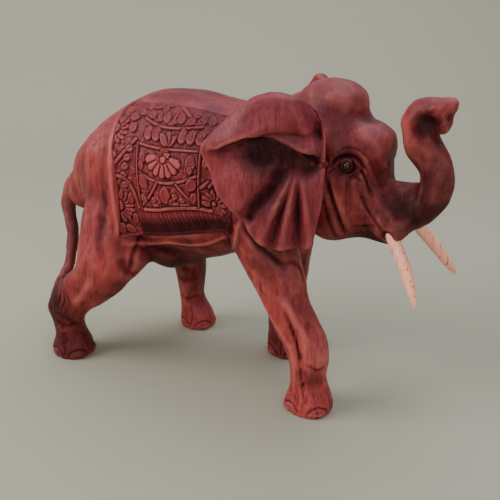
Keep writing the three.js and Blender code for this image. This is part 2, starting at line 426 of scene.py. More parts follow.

# %% [markdown]
# The finish follows the surface. Stain gathers where the skin is hollow, with painted shade added
# there, and wear brightens what stands proud. A shader could find hollows by itself while it
# renders, but an exported model would lose them, so each point stores them in a colour attribute:
# red for hollows (stain and painted shade), green for worn ridges, and blue for painted shade with
# some thicker stain. A second attribute says how far a face looks up, for a painted sky reflection.


# %% Hollows, ridges, painted shade and painted sheen as attributes
def store_colours(piece, handling):
    """Store the hollow, ridge and painted shade of each point, and how far it looks up for a painted
    sheen.
    """
    colours = np.hstack([handling, np.ones((len(handling), 1))])
    layer = piece.data.color_attributes.new("handling", "FLOAT_COLOR", "POINT")
    layer.data.foreach_set("color", colours.astype(np.float32).ravel())
    # How far a face looks up, which sets a painted reflection of the sky.
    bloom = np.clip((normals_of(piece)[:, 2] - 0.15) / 0.75, 0, 1)
    layer = piece.data.attributes.new("bloom", "FLOAT", "POINT")
    layer.data.foreach_set("value", bloom.astype(np.float32))


def store_handling(piece, reach, depth, dark_zones):
    """Compare the skin with a much smoother copy of itself: lower is a hollow, higher a ridge."""
    points, normals = points_of(piece), normals_of(piece)
    smooth = piece.copy()
    smooth.data = piece.data.copy()
    relax(smooth, reach)
    fine = np.sum((points_of(smooth) - points) * normals, axis=1) / (depth * MM)
    relax(smooth, 3 * reach)
    broad = np.sum((points_of(smooth) - points) * normals, axis=1) / (3 * depth * MM)
    bpy.data.meshes.remove(smooth.data)
    hollow = np.clip(0.65 * fine + 0.6 * broad, 0, 1)
    ridge = np.clip(-0.6 * fine - 0.35 * broad, 0, 1)
    # The dark zones are mostly painted shade, under the belly, on the far legs and in creases, with
    # some thicker stain.
    shade_and_stain = np.zeros_like(hollow)
    for centre, radius, amount in dark_zones:
        apart = np.linalg.norm(points - centre, axis=1) / (radius * MM)
        shade_and_stain = np.maximum(shade_and_stain, amount * np.clip(1 - apart ** 2, 0, 1))
    store_colours(piece, np.stack([hollow, ridge, shade_and_stain], axis=1))
    return hollow


print("the skin stores: handling, bloom")

# %% [markdown]
# The wood is a dark red rosewood kind, stained and lightly polished. Its grain runs up the
# block, so every noise is stretched along z: broad bands of tone, fine streaks and short dark
# pores. The legs run with the grain and show it best. All of it reads Object coordinates, so
# the grain passes through the carving as it does through real timber, not round it. An image
# would do for a flat board, but it would smear over carving.


# %% Wood finish
def srgb(red, green, blue):
    """A colour as a screen shows it, turned into the linear values that a shader takes."""
    return tuple((c / 255 / 12.92) if c <= 10 else ((c / 255 + 0.055) / 1.055) ** 2.4
                 for c in (red, green, blue)) + (1.0,)


# The mauve-grey that a painted reflection of the sky gives to faces that look up.
SKY_SHEEN_COLOUR = srgb(122, 70, 88)


class Finish:
    """A material being mixed, with short names for its nodes."""

    def __init__(self, name):
        self.material = bpy.data.materials.new(name)
        self.material.use_nodes = True
        self.nodes = self.material.node_tree.nodes
        self.links = self.material.node_tree.links
        self.shader = self.nodes["Principled BSDF"]
        self.place = self.nodes.new("ShaderNodeTexCoord").outputs["Object"]

    def join(self, source, target):
        if hasattr(source, "links"):
            self.links.new(source, target)
        else:
            target.default_value = source

    def noise(self, size, stretch=(1, 1, 1), detail=3.0, rough=0.55, turn=(0, 0, 0), warp=0.0):
        """Noise whose blobs are about size millimetres, longer along an axis by its stretch."""
        mapping = self.nodes.new("ShaderNodeMapping")
        mapping.inputs["Scale"].default_value = [1 / s for s in stretch]
        mapping.inputs["Rotation"].default_value = turn
        self.links.new(self.place, mapping.inputs["Vector"])
        texture = self.nodes.new("ShaderNodeTexNoise")
        texture.inputs["Scale"].default_value = 1 / (size * MM)
        texture.inputs["Detail"].default_value = detail
        texture.inputs["Roughness"].default_value = rough
        texture.inputs["Distortion"].default_value = warp
        self.links.new(mapping.outputs["Vector"], texture.inputs["Vector"])
        return texture.outputs["Fac"]

    def spread(self, value, low, high, to_low=0.0, to_high=1.0):
        """Take a stretch of a value to 0 to 1, and hold it at the ends."""
        node = self.nodes.new("ShaderNodeMapRange")
        node.inputs["From Min"].default_value = low
        node.inputs["From Max"].default_value = high
        node.inputs["To Min"].default_value = to_low
        node.inputs["To Max"].default_value = to_high
        self.links.new(value, node.inputs["Value"])
        return node.outputs["Result"]

    def blend(self, amount, first, second):
        """Go from the first colour to the second by an amount."""
        node = self.nodes.new("ShaderNodeMix")
        node.data_type = "RGBA"
        self.join(amount, node.inputs[0])
        self.join(first, node.inputs[6])
        self.join(second, node.inputs[7])
        return node.outputs[2]

    def reckon(self, operation, first, second):
        node = self.nodes.new("ShaderNodeMath")
        node.operation = operation
        self.join(first, node.inputs[0])
        self.join(second, node.inputs[1])
        return node.outputs[0]

    def times(self, first, second):
        return self.reckon("MULTIPLY", first, second)

    def plus(self, first, second):
        return self.reckon("ADD", first, second)

    def handling(self):
        """The hollow (stain and painted shade), the worn ridge, the painted shade zones and the
        up-facing for a painted sheen.
        """
        attribute = self.nodes.new("ShaderNodeVertexColor")
        attribute.layer_name = "handling"
        parts = self.nodes.new("ShaderNodeSeparateColor")
        self.links.new(attribute.outputs["Color"], parts.inputs["Color"])
        bloom = self.nodes.new("ShaderNodeAttribute")
        bloom.attribute_name = "bloom"
        return (*(parts.outputs[name] for name in ("Red", "Green", "Blue")), bloom.outputs["Fac"])

    def bump(self, height, distance):
        node = self.nodes.new("ShaderNodeBump")
        node.inputs["Distance"].default_value = distance * MM
        node.inputs["Strength"].default_value = 1.0
        self.links.new(height, node.inputs["Height"])
        self.links.new(node.outputs["Normal"], self.shader.inputs["Normal"])


def wood_colour(finish, tones, textures):
    """Bands and streaks first, then worn ridges, then stain with painted shade, then a painted sky
    reflection.
    """
    bands, streaks, pores, mottle, patches = textures
    hollow, ridge, shade_and_stain, bloom = finish.handling()
    dark, middle_tone, light, streak, stain_and_shade, worn = tones
    colour = finish.blend(finish.spread(bands, 0.36, 0.64), dark, middle_tone)
    colour = finish.blend(finish.spread(patches, 0.42, 0.66), colour, light)
    colour = finish.blend(finish.spread(streaks, 0.48, 0.66, 0.0, 0.85), colour, streak)
    colour = finish.blend(finish.spread(mottle, 0.56, 0.72, 0.0, 0.7), colour, dark)
    colour = finish.blend(finish.spread(ridge, 0.10, 0.75, 0.0, 0.6), colour, worn)
    # Painted shade with some thicker stain in the dark zones.
    uneven = finish.times(shade_and_stain, finish.spread(mottle, 0.3, 0.7, 0.75, 1.25))
    colour = finish.blend(finish.spread(uneven, 0.0, 0.8, 0.0, 0.9), colour, stain_and_shade)
    # Stain and painted shade in the hollows.
    colour = finish.blend(finish.spread(hollow, 0.06, 0.70, 0.0, 0.93), colour, stain_and_shade)
    colour = finish.blend(finish.spread(pores, 0.62, 0.72, 0.0, 0.45), colour, stain_and_shade)
    # A painted mauve-grey reflection of the sky on faces that look up, kept off the shaded zones.
    sky_sheen_amount = finish.times(bloom, finish.spread(mottle, 0.3, 0.7, 0.14, 0.42))
    sky_sheen_amount = finish.times(sky_sheen_amount, finish.spread(shade_and_stain, 0.3, 0.75, 1.0, 0.0))
    finish.links.new(finish.blend(sky_sheen_amount, colour, SKY_SHEEN_COLOUR), finish.shader.inputs["Base Color"])
    return hollow, shade_and_stain


def red_wood(name, tones):
    """The stained hardwood, in six tones: dark, middle, light, streak, stain with painted shade, and
    worn ridge.
    """
    finish = Finish(name)
    bands = finish.noise(16, (1, 1, 7), detail=4, warp=0.6)
    streaks = finish.noise(2.6, (1, 1, 16), detail=4, rough=0.62)
    pores = finish.noise(0.55, (1, 1, 14), detail=2)
    mottle = finish.noise(9, (1, 1, 1.6), detail=5, rough=0.66)
    patches = finish.noise(55, (1, 1, 1.5), detail=3)
    hollow, shade_and_stain = wood_colour(finish, tones, (bands, streaks, pores, mottle, patches))
    dullness = finish.spread(finish.plus(mottle, streaks), 0.8, 1.25, 0.44, 0.58)
    dullness = finish.plus(dullness, finish.spread(hollow, 0.1, 0.8, 0.0, 0.22))
    finish.links.new(dullness, finish.shader.inputs["Roughness"])
    polish = finish.spread(finish.plus(shade_and_stain, hollow), 0.1, 0.75, 0.16, 0.0)
    finish.links.new(polish, finish.shader.inputs["Coat Weight"])
    finish.shader.inputs["Coat Roughness"].default_value = 0.42
    finish.shader.inputs["Specular IOR Level"].default_value = 0.16
    height = finish.plus(finish.spread(streaks, 0.3, 0.7, 0.0, 0.6),
                         finish.spread(pores, 0.58, 0.74, 0.0, -0.7))
    finish.bump(finish.plus(height, finish.spread(mottle, 0.3, 0.7, 0.0, 0.5)), 0.3)
    return finish.material


def put_on(piece, material):
    piece.data.materials.clear()
    piece.data.materials.append(material)


body_wood = red_wood("stained_body_wood", [
    srgb(84, 14, 21), srgb(142, 43, 46), srgb(172, 66, 64),
    srgb(100, 22, 28), srgb(38, 3, 8), srgb(206, 108, 100)])
ear_wood = red_wood("stained_ear_wood", [
    srgb(96, 24, 31), srgb(144, 52, 60), srgb(162, 68, 73),
    srgb(108, 33, 40), srgb(28, 3, 8), srgb(198, 106, 104)])
print("finishes:", body_wood.name, ear_wood.name)

# %% [markdown]
# The body comes first. Its skin is one shell with the legs, the head, the trunk and the tail.
# Relaxing makes limbs flow into one another, but it also thins what is thin, so the legs, the
# trunk and the tail are swelled back. Then big soft pulls set the stance: a low belly, a hock
# that stands out behind, a knee in front, a square forehead and a full crown.

# %% Body skin
body = fine_copy("body_carving", "body_carved", 1.7)
joints_to_soften = [
    (on_body(-86, -24, 130), 44), (on_body(-84, 24, 132), 44), (on_body(24, -24, 142), 40),
    (on_body(22, 24, 142), 40), (on_body(34, 0, 190), 44), (on_body(20, 0, 150), 40),
    (on_head(40, 0, 150), 34), (on_body(-60, 0, 100), 40), (on_body(-140, 0, 138), 16),
    (on_head(60, 0, 165), 26), (on_body(-144, -34, 50), 14),
]
relax(body, 3)
relax(body, 22, near(body, joints_to_soften))
hips = [(on_body(-98, 40 * side, 138), 34) for side in (RIGHT, LEFT)]
relax(body, 60, near(body, hips))
relax(body, 1)
print("body cells:", len(body.data.polygons))

# %% The legs' middle lines
NEAR_FORE = {"z": [7, 24, 42, 60, 84, 112, 150], "x": [76, 75, 76, 69, 56, 42, 24],
             "y": [-34, -34, -35, -35, -34, -31, -22]}
FAR_FORE = {"z": [7, 34, 60, 84, 112, 150], "x": [31, 28, 29, 30, 30, 20],
            "y": [33, 33, 33, 33, 30, 22]}
NEAR_HIND = {"z": [7, 20, 34, 52, 75, 102, 130], "x": [-128, -130, -132, -123, -99, -85, -86],
             "y": [-44, -44, -44, -43, -41, -34, -24]}
FAR_HIND = {"z": [7, 24, 46, 74, 104, 132], "x": [-61, -65, -65, -67, -72, -84],
            "y": [44, 44, 43, 41, 34, 24]}
LEGS = [NEAR_FORE, FAR_FORE, NEAR_HIND, FAR_HIND]


def leg_middle(leg, z):
    """The middle of a leg at a height, on the body's drawing."""
    return np.interp(z, leg["z"], leg["x"]), np.interp(z, leg["z"], leg["y"])


def leg_side(leg):
    return RIGHT if leg["y"][0] < 0 else LEFT


def leg_balls(leg, heights, radius):
    return [(on_body(*leg_middle(leg, z), z), radius) for z in heights]


print("feet at x", [leg["x"][0] for leg in LEGS])

# %% Swell what the relaxing thinned
TRUNK_PATH = [(82, 151), (96, 157), (104, 169), (103, 182), (96, 194), (91, 206)]
TAIL_PATH = [(-150, -1, 126), (-153, -4, 112), (-152, -8, 98), (-151, -12, 84), (-147, -20, 70)]
carving = Carving(body)
for forward, z in TRUNK_PATH:
    carving.swell(on_head(forward, 0, z), 17, 0.7)
carving.swell(on_head(99, 0, 217), 14, 0.9)
for place in TAIL_PATH:
    carving.swell(on_body(*place), 13, 2.3)
carving.swell(on_body(-144, -34, 56), 16, 3.5)
carving.swell(on_body(-148, 0, 134), 15, 2.6)
carving.swell(on_body(-142, -8, 122), 17, 2.5)
for leg in LEGS:
    for centre, radius in leg_balls(leg, (2, 6), 24):
        carving.swell(centre, radius, 0.9)
    for centre, radius in leg_balls(leg, (24, 44, 64, 84), 22):
        carving.swell(centre, radius, 0.35)
print("trunk, tail and legs swelled")

# %% Pull the body into its stance
PULLS = [
    (on_body(-50, -10, 96), 42, (0, 0, -8)), (on_body(-28, 0, 94), 34, (0, 0, -3)),
    (on_body(-50, 14, 98), 34, (0, 0, -4)), (on_body(-144, -42, 40), 17, (-7, -1, 0)),
    (on_body(-118, -36, 106), 26, (-4, 0, 0)), (on_body(-112, 0, 180), 34, (2, 0, -1)),
    (on_body(72, -36, 44), 26, (5, 0, 0)), (on_body(-142, -46, 4), 16, (-3, -1, 0)),
    (on_body(-56, 40, 6), 18, (3, 0, 0)), (on_body(58, -40, 4), 14, (-2, -2, 0)),
    (on_body(-80, 34, 104), 22, (-3, 0, 0)), (on_body(-58, -14, 88), 34, (0, 0, -9)),
    (on_body(74, -32, 78), 24, (-4, 0, 0)), (on_body(-154, -4, 112), 22, (-3, 0, 0)),
    (on_head(80, 0, 206), 20, -5.0 * FORWARD), (on_head(84, 0, 188), 17, -6.5 * FORWARD),
    (on_head(83, 0, 166), 17, 6.5 * UP), (on_body(-120, -42, 80), 19, (6, 1, 0)),
    (on_body(-152, -8, 92), 28, (9, -6, 0)), (on_body(-140, -24, 70), 26, (7, -9, 0)),
    (on_body(-118, -34, 112), 22, (-3, 0, 0)), (on_body(-40, 0, 204), 56, (0, 0, 4.5)),
]
for side in (RIGHT, LEFT):
    PULLS += [
        (on_head(66, 10 * side, 196), 22, 5.5 * FORWARD + 0.8 * UP),
        (on_head(44, 16 * side, 132), 22, -3.5 * UP),
        (on_head(44, 10 * side, 218), 24, 3.5 * FORWARD + 1.5 * side * SIDEWAYS + 0.8 * UP),
        (on_head(12, 9 * side, 212), 26, 4 * UP + 1.5 * side * SIDEWAYS),
        (on_head(62, 22 * side, 160), 20, 1.5 * side * SIDEWAYS),
        (on_head(83, 14 * side, 146), 17, 10 * side * SIDEWAYS - 7 * UP + 5.5 * FORWARD),
        (on_head(30, 27 * side, 204), 17, 3.5 * side * SIDEWAYS + 1.0 * FORWARD),
        (on_head(58, 14 * side, 200), 18, 2.0 * UP - 1.0 * FORWARD),
    ]
PULLS += [(on_head(80, 0, 131), 13, 4 * FORWARD - 1.5 * UP)]
for centre, radius, move in PULLS:
    carving.pull(centre, radius, move)
carving.done()
relax(body, 14, near(body, [(on_body(-144, -34, 62), 15)]))
relax(body, 2)
print("pulls:", len(PULLS))

# %% [markdown]
# Fine strokes need fine cells. The cells are cut in four round the eyes, the mouth, the toes,
# the trunk's tip and the tail's tuft, and once more at the eyes. The lids of a carved eye are
# ridges left standing round a ball, so the ball is turned true first.

# %% Finer cells where the knife worked closely
EYE = {side: on_head(54, 21 * side, 181) for side in (RIGHT, LEFT)}
EYE_FACING = {side: (0.5 * FORWARD + side * SIDEWAYS) / math.sqrt(1.25) for side in (RIGHT, LEFT)}
EYE_AHEAD = {side: (FORWARD - 0.5 * side * SIDEWAYS) / math.sqrt(1.25) for side in (RIGHT, LEFT)}
EYEBALL = 5.0
for leg in LEGS:
    split_near(body, leg_balls(leg, (0, 4), 21))
split_near(body, [(on_head(100, 0, 212), 18), (on_body(-130, -52, 62), 21),
                  (on_body(-134, -50, 44), 15)])
split_near(body, [(on_head(72, 18 * side, 146), 14) for side in (RIGHT, LEFT)])
for side in (RIGHT, LEFT):
    split_near(body, [(EYE[side], 19)])
    split_near(body, [(EYE[side], 11)])
print("body triangles:", sum(len(p.vertices) - 2 for p in body.data.polygons))

# %% [markdown]
# The head's strokes are the same on both sides. The brow overhangs the eye, a long fold runs
# down from its front corner, two deep grooves part the cheek from the ear, and the mouth curls
# up behind the tusk. The temple keeps rough short cuts where the ear joins.


# %% Head strokes
def eye_line(side, points):
    """A line round an eye: forward of its middle and above it, seen straight on."""
    return [EYE[side] + (s * EYE_AHEAD[side] + t * UP + 6 * EYE_FACING[side]) * MM for s, t in points]


def face_line(side, points):
    """A line on one side of the head: forward and height."""
    return [on_head(forward, 90 * side, z) for forward, z in points]


def turn_eyeball(carving, side):
    """Set the points in front of the eye's middle on a true ball."""
    apart = (carving.points - EYE[side]) / MM
    out = apart @ EYE_FACING[side]
    across = np.linalg.norm(apart - out[:, None] * EYE_FACING[side], axis=1)
    ball = (across < EYEBALL * 0.99) & (out > -3) & (out < 9)
    target = np.sqrt(np.clip(EYEBALL ** 2 - across ** 2, 0, None))
    carving.points[ball] += ((target - out)[ball] * MM)[:, None] * EYE_FACING[side]


# Each stroke is its points, half its width, and its depth, which is negative for a ridge.
EYE_STROKES = [
    ([(-7.5, -1.6), (-5, 1.9), (0, 3.7), (5, 2.4), (8.5, -1.2)], 1.5, -1.7),         # upper lid
    ([(-7, -2.2), (-3, -4.2), (2, -4.6), (6, -3.2), (8.5, -1.2)], 1.1, -0.8),        # lower lid
    ([(-10, -0.6), (-6.5, 4.2), (0, 6.4), (6.5, 4.8), (11.5, -1.5)], 1.5, 2.5),      # lid's crease
    ([(-8.5, 7.5), (-2, 10.8), (5, 10.2), (11, 5.8), (14.5, 0)], 2.2, -0.4),         # brow
    ([(-6, 9.0), (0, 10.8), (7, 9.6), (13, 4.5), (16.5, -2)], 1.3, 1.1),             # cut over it
    ([(7.5, 0), (10.5, -5), (14, -13), (18, -21)], 1.6, 1.9),                        # tear fold
    ([(12.5, 1), (15, -5), (19, -13), (22, -20)], 2.6, -1.0),
    ([(-7.5, -2), (-9.5, -3.6), (-11.5, -6)], 1.0, 0.9),                             # rear corner
    ([(1, -7.5), (6, -6.8), (10, -9.5)], 1.5, 0.9),                                  # under the lid
]
FACE_STROKES = [
    ([(43, 174), (46.5, 162), (50, 152), (52.5, 142), (53.5, 133)], 2.2, 2.3),       # cheek grooves
    ([(47, 172), (50, 162), (54, 152), (57, 142), (58.5, 134)], 2.8, -1.0),
    ([(39.5, 168), (41, 158), (43, 147), (45, 137), (47, 128)], 2.0, 1.6),
    ([(64, 166), (68, 158), (72, 152), (77, 147.5), (82, 143.5)], 1.8, 1.9),         # mouth
    ([(60, 141), (66, 142.5), (72, 145), (77, 146)], 1.8, 1.0),
    ([(62, 180), (66, 172), (71, 162), (79, 156), (86, 153)], 3.5, -1.3),            # cheekbone
    ([(56, 172), (59, 160), (62, 150)], 6.0, 0.9),
    ([(36, 200), (39, 193), (42, 186), (44, 178)], 4.5, 1.5),                        # temple
    ([(70, 194), (71, 184), (73, 174)], 3.5, -0.5),
    ([(86, 166), (91, 172), (92, 183), (86, 193), (81, 205)], 3.0, -0.6),            # trunk's side
    ([(91, 193), (97, 183), (98, 172), (98, 160), (100, 150)], 2.2, -1.0),
    ([(87, 190), (92, 181), (93, 170), (90, 160), (87, 150)], 5.0, 0.7),
]
TEMPLE_CUTS = 7
print("strokes on each side of the head:", len(EYE_STROKES) + len(FACE_STROKES) + TEMPLE_CUTS)

# %% Cut the head
carving = Carving(body)
for side in (RIGHT, LEFT):
    inwards = -side * SIDEWAYS
    to_eye = -EYE_FACING[side]
    carving.dab(EYE[side] + 6 * EYE_FACING[side] * MM, to_eye, 8.5, 1.7)
    turn_eyeball(carving, side)
    carving.strokes(EYE_STROKES, partial(eye_line, side), to_eye)
    carving.strokes(FACE_STROKES, partial(face_line, side), inwards)
    for step in range(TEMPLE_CUTS):
        forward, z = 33 + 0.9 * step, 212 - 5.5 * step
        line = face_line(side, [(forward, z), (forward + 4.5, z - 3.5)])
        carving.stroke(line, 1.5, 0.8, inwards, knife)
    for forward, z in [(88, 154), (93, 159), (98, 166)]:
        carving.dab(on_head(forward, 60 * side, z), inwards, 5, 0.5)
carving.done()
print("eyes, cheeks and mouth cut")

# %% [markdown]
# The trunk's tip is a flap that hangs forward over a hollow. Its front is sliced flat, with two
# nostrils bored in it and a short drying crack above them.

# %% Trunk tip
TIP_STROKES = [
    ([(94, 212), (98, 211), (102, 209.5), (103, 206)], 4.2, 2.0),
    ([(103, 204), (104.5, 208), (105, 213)], 1.8, 0.8),
    ([(107, 223), (106.5, 219), (104, 214)], 0.9, 0.7),
]
carving = Carving(body)
carving.pull(on_head(108, 0, 222), 9, 3.0 * FORWARD + 1.8 * UP)
carving.pull(on_head(88, 0, 220), 12, -2.5 * FORWARD + 1.0 * UP)
carving.pull(on_head(106, 0, 207), 12, 1.5 * FORWARD - 8.0 * UP)
carving.slice_flat(on_head(109.5, 0, 213), FORWARD * 0.95 - 0.22 * UP, 16)
for side in (RIGHT, LEFT):
    carving.strokes(TIP_STROKES, partial(face_line, side), -side * SIDEWAYS)
    carving.dab(on_head(120, 3.6 * side, 214), -FORWARD, 2.4, 2.4)
carving.done()
relax(body, 2, near(body, [(on_head(100, 0, 214), 15)]))
relax(body, 12, near(body, [(on_head(92, 0, 203), 9)]))
print("trunk tip cut")

# %% [markdown]
# The flank's strokes leave muscle planes on rump and thigh, a proud edge behind the saddle
# cloth, a ledge under it with the belly scooped away below, and the line of the shoulder. They
# are the same on both sides.


# %% Flank strokes
def flank_line(side, points):
    """A line on one side of the body: x and height."""
    return [on_body(x, 90 * side, z) for x, z in points]


FLANK_STROKES = [
    ([(-79, 196), (-79, 183), (-77, 170), (-76, 147), (-74, 127), (-71, 111)], 3.2, -1.3),
    ([(-88, 186), (-86, 168), (-85, 150), (-85, 132), (-86, 112)], 7.0, 1.4),
    ([(-103, 182), (-103, 164), (-104, 146), (-105, 128), (-102, 108)], 8.0, -1.3),
    ([(-68, 107), (-52, 106), (-34, 111), (-21, 112), (-5, 115), (17, 126)], 2.6, -1.9),
    ([(28, 140), (24, 130), (21, 118)], 2.4, -0.8),
    ([(16, 134), (16, 124), (15, 114)], 2.4, 1.3),
]
carving = Carving(body)
for side in (RIGHT, LEFT):
    inwards = -side * TO_LEFT
    carving.strokes(FLANK_STROKES, partial(flank_line, side), inwards)
    carving.dab(on_body(-40, 60 * side, 100), inwards, 15, 2.6, stretch=(1.35, 0.75))
    carving.dab(on_body(-6, 60 * side, 108), inwards, 9, 1.6, stretch=(1.2, 0.75))
print("flanks cut")

# %% [markdown]
# Each leg's strokes follow its middle line, so the same lists serve the right leg and the left,
# though the left ones stand elsewhere. The hind legs have a hollow flank, folds above the ankle
# and a few strokes on their inner faces. The fore legs have tendon grooves, a kneecap and the
# folds of the armpit.


# %% Leg strokes
def leg_line(leg, points):
    """A line on the outer face of a leg: ahead of its middle and the height."""
    return [on_body(leg_middle(leg, z)[0] + ahead, 90 * leg_side(leg), z) for ahead, z in points]


def inner_leg_line(leg, points):
    return [on_body(leg_middle(leg, z)[0] + ahead, 0, z) for ahead, z in points]


def armpit_line(side, points):
    """The armpit's folds lie 14 mm further back on the left, where that leg stands back."""
    shift = 0 if side == RIGHT else -14
    return [on_body(x + shift, -y * side, z) for x, y, z in points]


HIND_STROKES = [
    ([(0, 128), (-2, 108), (8, 88)], 6.5, 1.2),
    ([(26, 112), (24, 98), (27, 86)], 2.4, 1.5),
    ([(6, 78), (8, 62), (9, 50)], 5.0, -1.2),
    ([(-4, 42), (8, 36), (12, 28)], 3.0, 1.0),
    ([(0, 33), (5, 29.5), (11, 29), (13, 28)], 2.0, 1.5),
    ([(3, 22), (4, 12)], 3.0, 0.8),
]
INNER_HIND_STROKES = [
    ([(-6, 62), (4, 64), (12, 60)], 6.0, -1.6),
    ([(-6, 48), (4, 46), (11, 49)], 4.0, 0.9),
    ([(-6, 31), (1, 28), (8, 31)], 2.6, 0.9),
    ([(2, 96), (0, 84), (4, 72)], 5.0, 1.0),
    ([(-2, 42), (0, 34), (-2, 22)], 3.0, -0.8),
]
FORE_STROKES = [
    ([(3, 78), (1.5, 67), (0, 55), (-3, 43), (-1, 28), (0.5, 17), (2, 7)], 1.9, 1.9),
    ([(1.5, 64), (0, 51), (-0.5, 41), (1.5, 31), (2, 22)], 1.5, 1.2),
    ([(-8, 104), (-13, 91), (-13, 72), (-9, 61), (-7, 49), (-8, 39), (-7, 22)], 2.8, -1.2),
    ([(5, 90), (7, 76), (8, 64), (6, 52)], 4.0, -1.5),
    ([(1, 42), (5, 41.5), (8, 38.5), (11, 38.5), (14, 41)], 1.8, 1.6),
    ([(-5, 26), (-4, 16), (-4, 6)], 2.0, 0.9),
]
ARMPIT_FOLDS = [
    ([(30, -48, 138), (36, -48, 129), (42, -48, 123), (49, -47, 118), (59, -44, 110)], 3.2, 2.4),
    ([(58, -44, 111), (62, -39, 113), (66, -33, 106), (69, -34, 96)], 2.4, 1.3),
    ([(70, -30, 100), (76, -28, 88), (83, -28, 70)], 3.0, -0.8),
]
for leg in (NEAR_HIND, FAR_HIND):
    carving.strokes(HIND_STROKES, partial(leg_line, leg), -leg_side(leg) * TO_LEFT)
for leg in (NEAR_HIND, FAR_HIND):
    carving.strokes(INNER_HIND_STROKES, partial(inner_leg_line, leg), leg_side(leg) * TO_LEFT)
for leg in (NEAR_FORE, FAR_FORE):
    carving.strokes(FORE_STROKES, partial(leg_line, leg), -leg_side(leg) * TO_LEFT)
    knee_x, knee_y = leg_middle(leg, 47)
    carving.dab(on_body(knee_x + 30, knee_y * 1.2, 48), (-1, 0, 0), 9, -1.9)
    carving.dab(on_body(knee_x + 30, knee_y * 1.2, 31), (-1, 0, 0), 7, 1.0)
for fold in ARMPIT_FOLDS:
    for side in (RIGHT, LEFT):
        carving.strokes([fold], partial(armpit_line, side))
carving.done()
print("strokes on each fore leg:", len(FORE_STROKES), "and each hind leg:", len(HIND_STROKES))

# %% [markdown]
# The tail comes down behind the right thigh and its tuft lies twisted on the hock. Each foot
# has four nails: a nail is a low bulge with a curved groove above it, and a short groove runs
# up between two of them.

# %% Tuft and toenails
TUFT_STROKES = [
    ([(-147, -36, 74), (-139, -47, 64), (-135, -53, 54), (-135, -56, 44)], 5.0, -1.6),
    ([(-140, -40, 80), (-131, -50, 68), (-126, -55, 57), (-130, -57, 46)], 1.5, 1.7),
    ([(-149, -34, 72), (-144, -43, 61), (-141, -50, 48), (-139, -54, 38)], 1.4, 1.4),
    ([(-134, -46, 76), (-125, -53, 64), (-121, -57, 55), (-126, -57, 44)], 1.4, 1.4),
    ([(-144, -40, 74), (-136, -49, 62), (-133, -55, 50), (-135, -57, 40)], 1.2, 1.1),
    ([(-128, -50, 72), (-119, -56, 60), (-115, -58, 52)], 1.3, 1.2),
]
FORE_NAILS = (-128, -48, 32, 112)    # the nails' angles round the foot, from straight ahead
HIND_NAILS = (-117, -42, 33, 108)
FOOT_RADIUS = 22


def foot_line(foot, nail, points):
    """A line on a foot: angles from the nail's middle, and heights."""
    line = []
    for angle, z in points:
        turned = math.radians(nail + angle)
        line.append(on_body(foot[0] + FOOT_RADIUS * math.cos(turned),
                            foot[1] + FOOT_RADIUS * math.sin(turned), z))
    return line


NAIL_STROKES = [
    ([(0, 2), (0, 5)], 5.5, -1.2),                                         # the nail's bulge
    ([(-30, 1), (-25, 6), (0, 10), (25, 6), (30, 1)], 1.2, 1.5),           # the groove round it
    ([(-38, 3), (-38, 12), (-36, 22)], 1.6, 1.1),                          # up between two nails
]
carving = Carving(body)
carving.strokes(TUFT_STROKES, lambda points: [on_body(*point) for point in points])
for leg in LEGS:
    for nail in FORE_NAILS if leg in (NEAR_FORE, FAR_FORE) else HIND_NAILS:
        carving.strokes(NAIL_STROKES, partial(foot_line, leg_middle(leg, 7), nail))
carving.done()
print("tuft and", len(LEGS) * len(FORE_NAILS), "toenails cut")

# %% [markdown]
# The saddle cloth is low relief: the ground is cut away round flowers, scrolls and bands, whose
# tops stay level with the flank. Each side's panel is a fine grid laid on the skin. Across the
# panel a is the body's x, and b runs up the curve of the flank from its lower end, both in
# millimetres, so motifs keep their shape where the flank rounds over towards the back.

# %% The panel's outline and its place on the flank
PANEL_A = (-79.0, 21.0)
PANEL_TOP = 113.0
CLOTH_CELLS = (250, 222)
AXIS_HEIGHT = 150        # the body's axis, which the rays of the fans run to
RAY_START = 0.12         # how far from the axis the rays start, in metres
PANEL_FOOT = 106         # the height where b starts
REAR_EDGE = ([0, 41, 60, 72, 102, 114], [-71.3, -70.2, -72.6, -75.8, -77.5, -70])
LOWER_EDGE = ([-72, -29, 18, 24], [5.0, 15.5, 31.0, 33.0])


def panel_grid():
    """Places over the panel, stretched to its slanting lower edge and its curved rear edge."""
    across, upward = np.meshgrid(np.linspace(0, 1, CLOTH_CELLS[0] + 1),
                                 np.linspace(0, 1, CLOTH_CELLS[1] + 1), indexing="ij")
    b = upward * PANEL_TOP
    for _ in range(3):       # each edge depends on the other, and three rounds settle them
        rear = np.interp(b, *REAR_EDGE)
        a = rear + across * (PANEL_A[1] - rear)
        low = np.interp(a, *LOWER_EDGE)
        b = low + upward * (PANEL_TOP - low)
    return a, b


def even_out(values, rounds, keep=0.0):
    """Average each place of a grid with its four neighbours, and keep a share of its own."""
    for _ in range(rounds):
        around = values[:-2, 1:-1] + values[2:, 1:-1] + values[1:-1, :-2] + values[1:-1, 2:]
        values[1:-1, 1:-1] = keep * values[1:-1, 1:-1] + (1 - keep) / 4 * around


def ray_fans(carving, side, columns):
    """Run a fan of rays in towards the body's axis at each x, and give where they meet the flank."""
    angles = np.radians(np.linspace(-58, 86, 90))
    ways = np.stack([np.zeros_like(angles), side * np.cos(angles), np.sin(angles)], axis=1)
    reach = np.empty((len(columns), len(angles)))
    for i, x in enumerate(columns):
        axis = on_body(x, 0, AXIS_HEIGHT)
        for j, way in enumerate(ways):
            found = carving.surface.ray_cast(Vector(axis + way * RAY_START), Vector(-way))
            reach[i, j] = RAY_START - found[3]
    even_out(reach, 14)
    return reach * ways[:, 1], AXIS_HEIGHT * MM + reach * ways[:, 2]


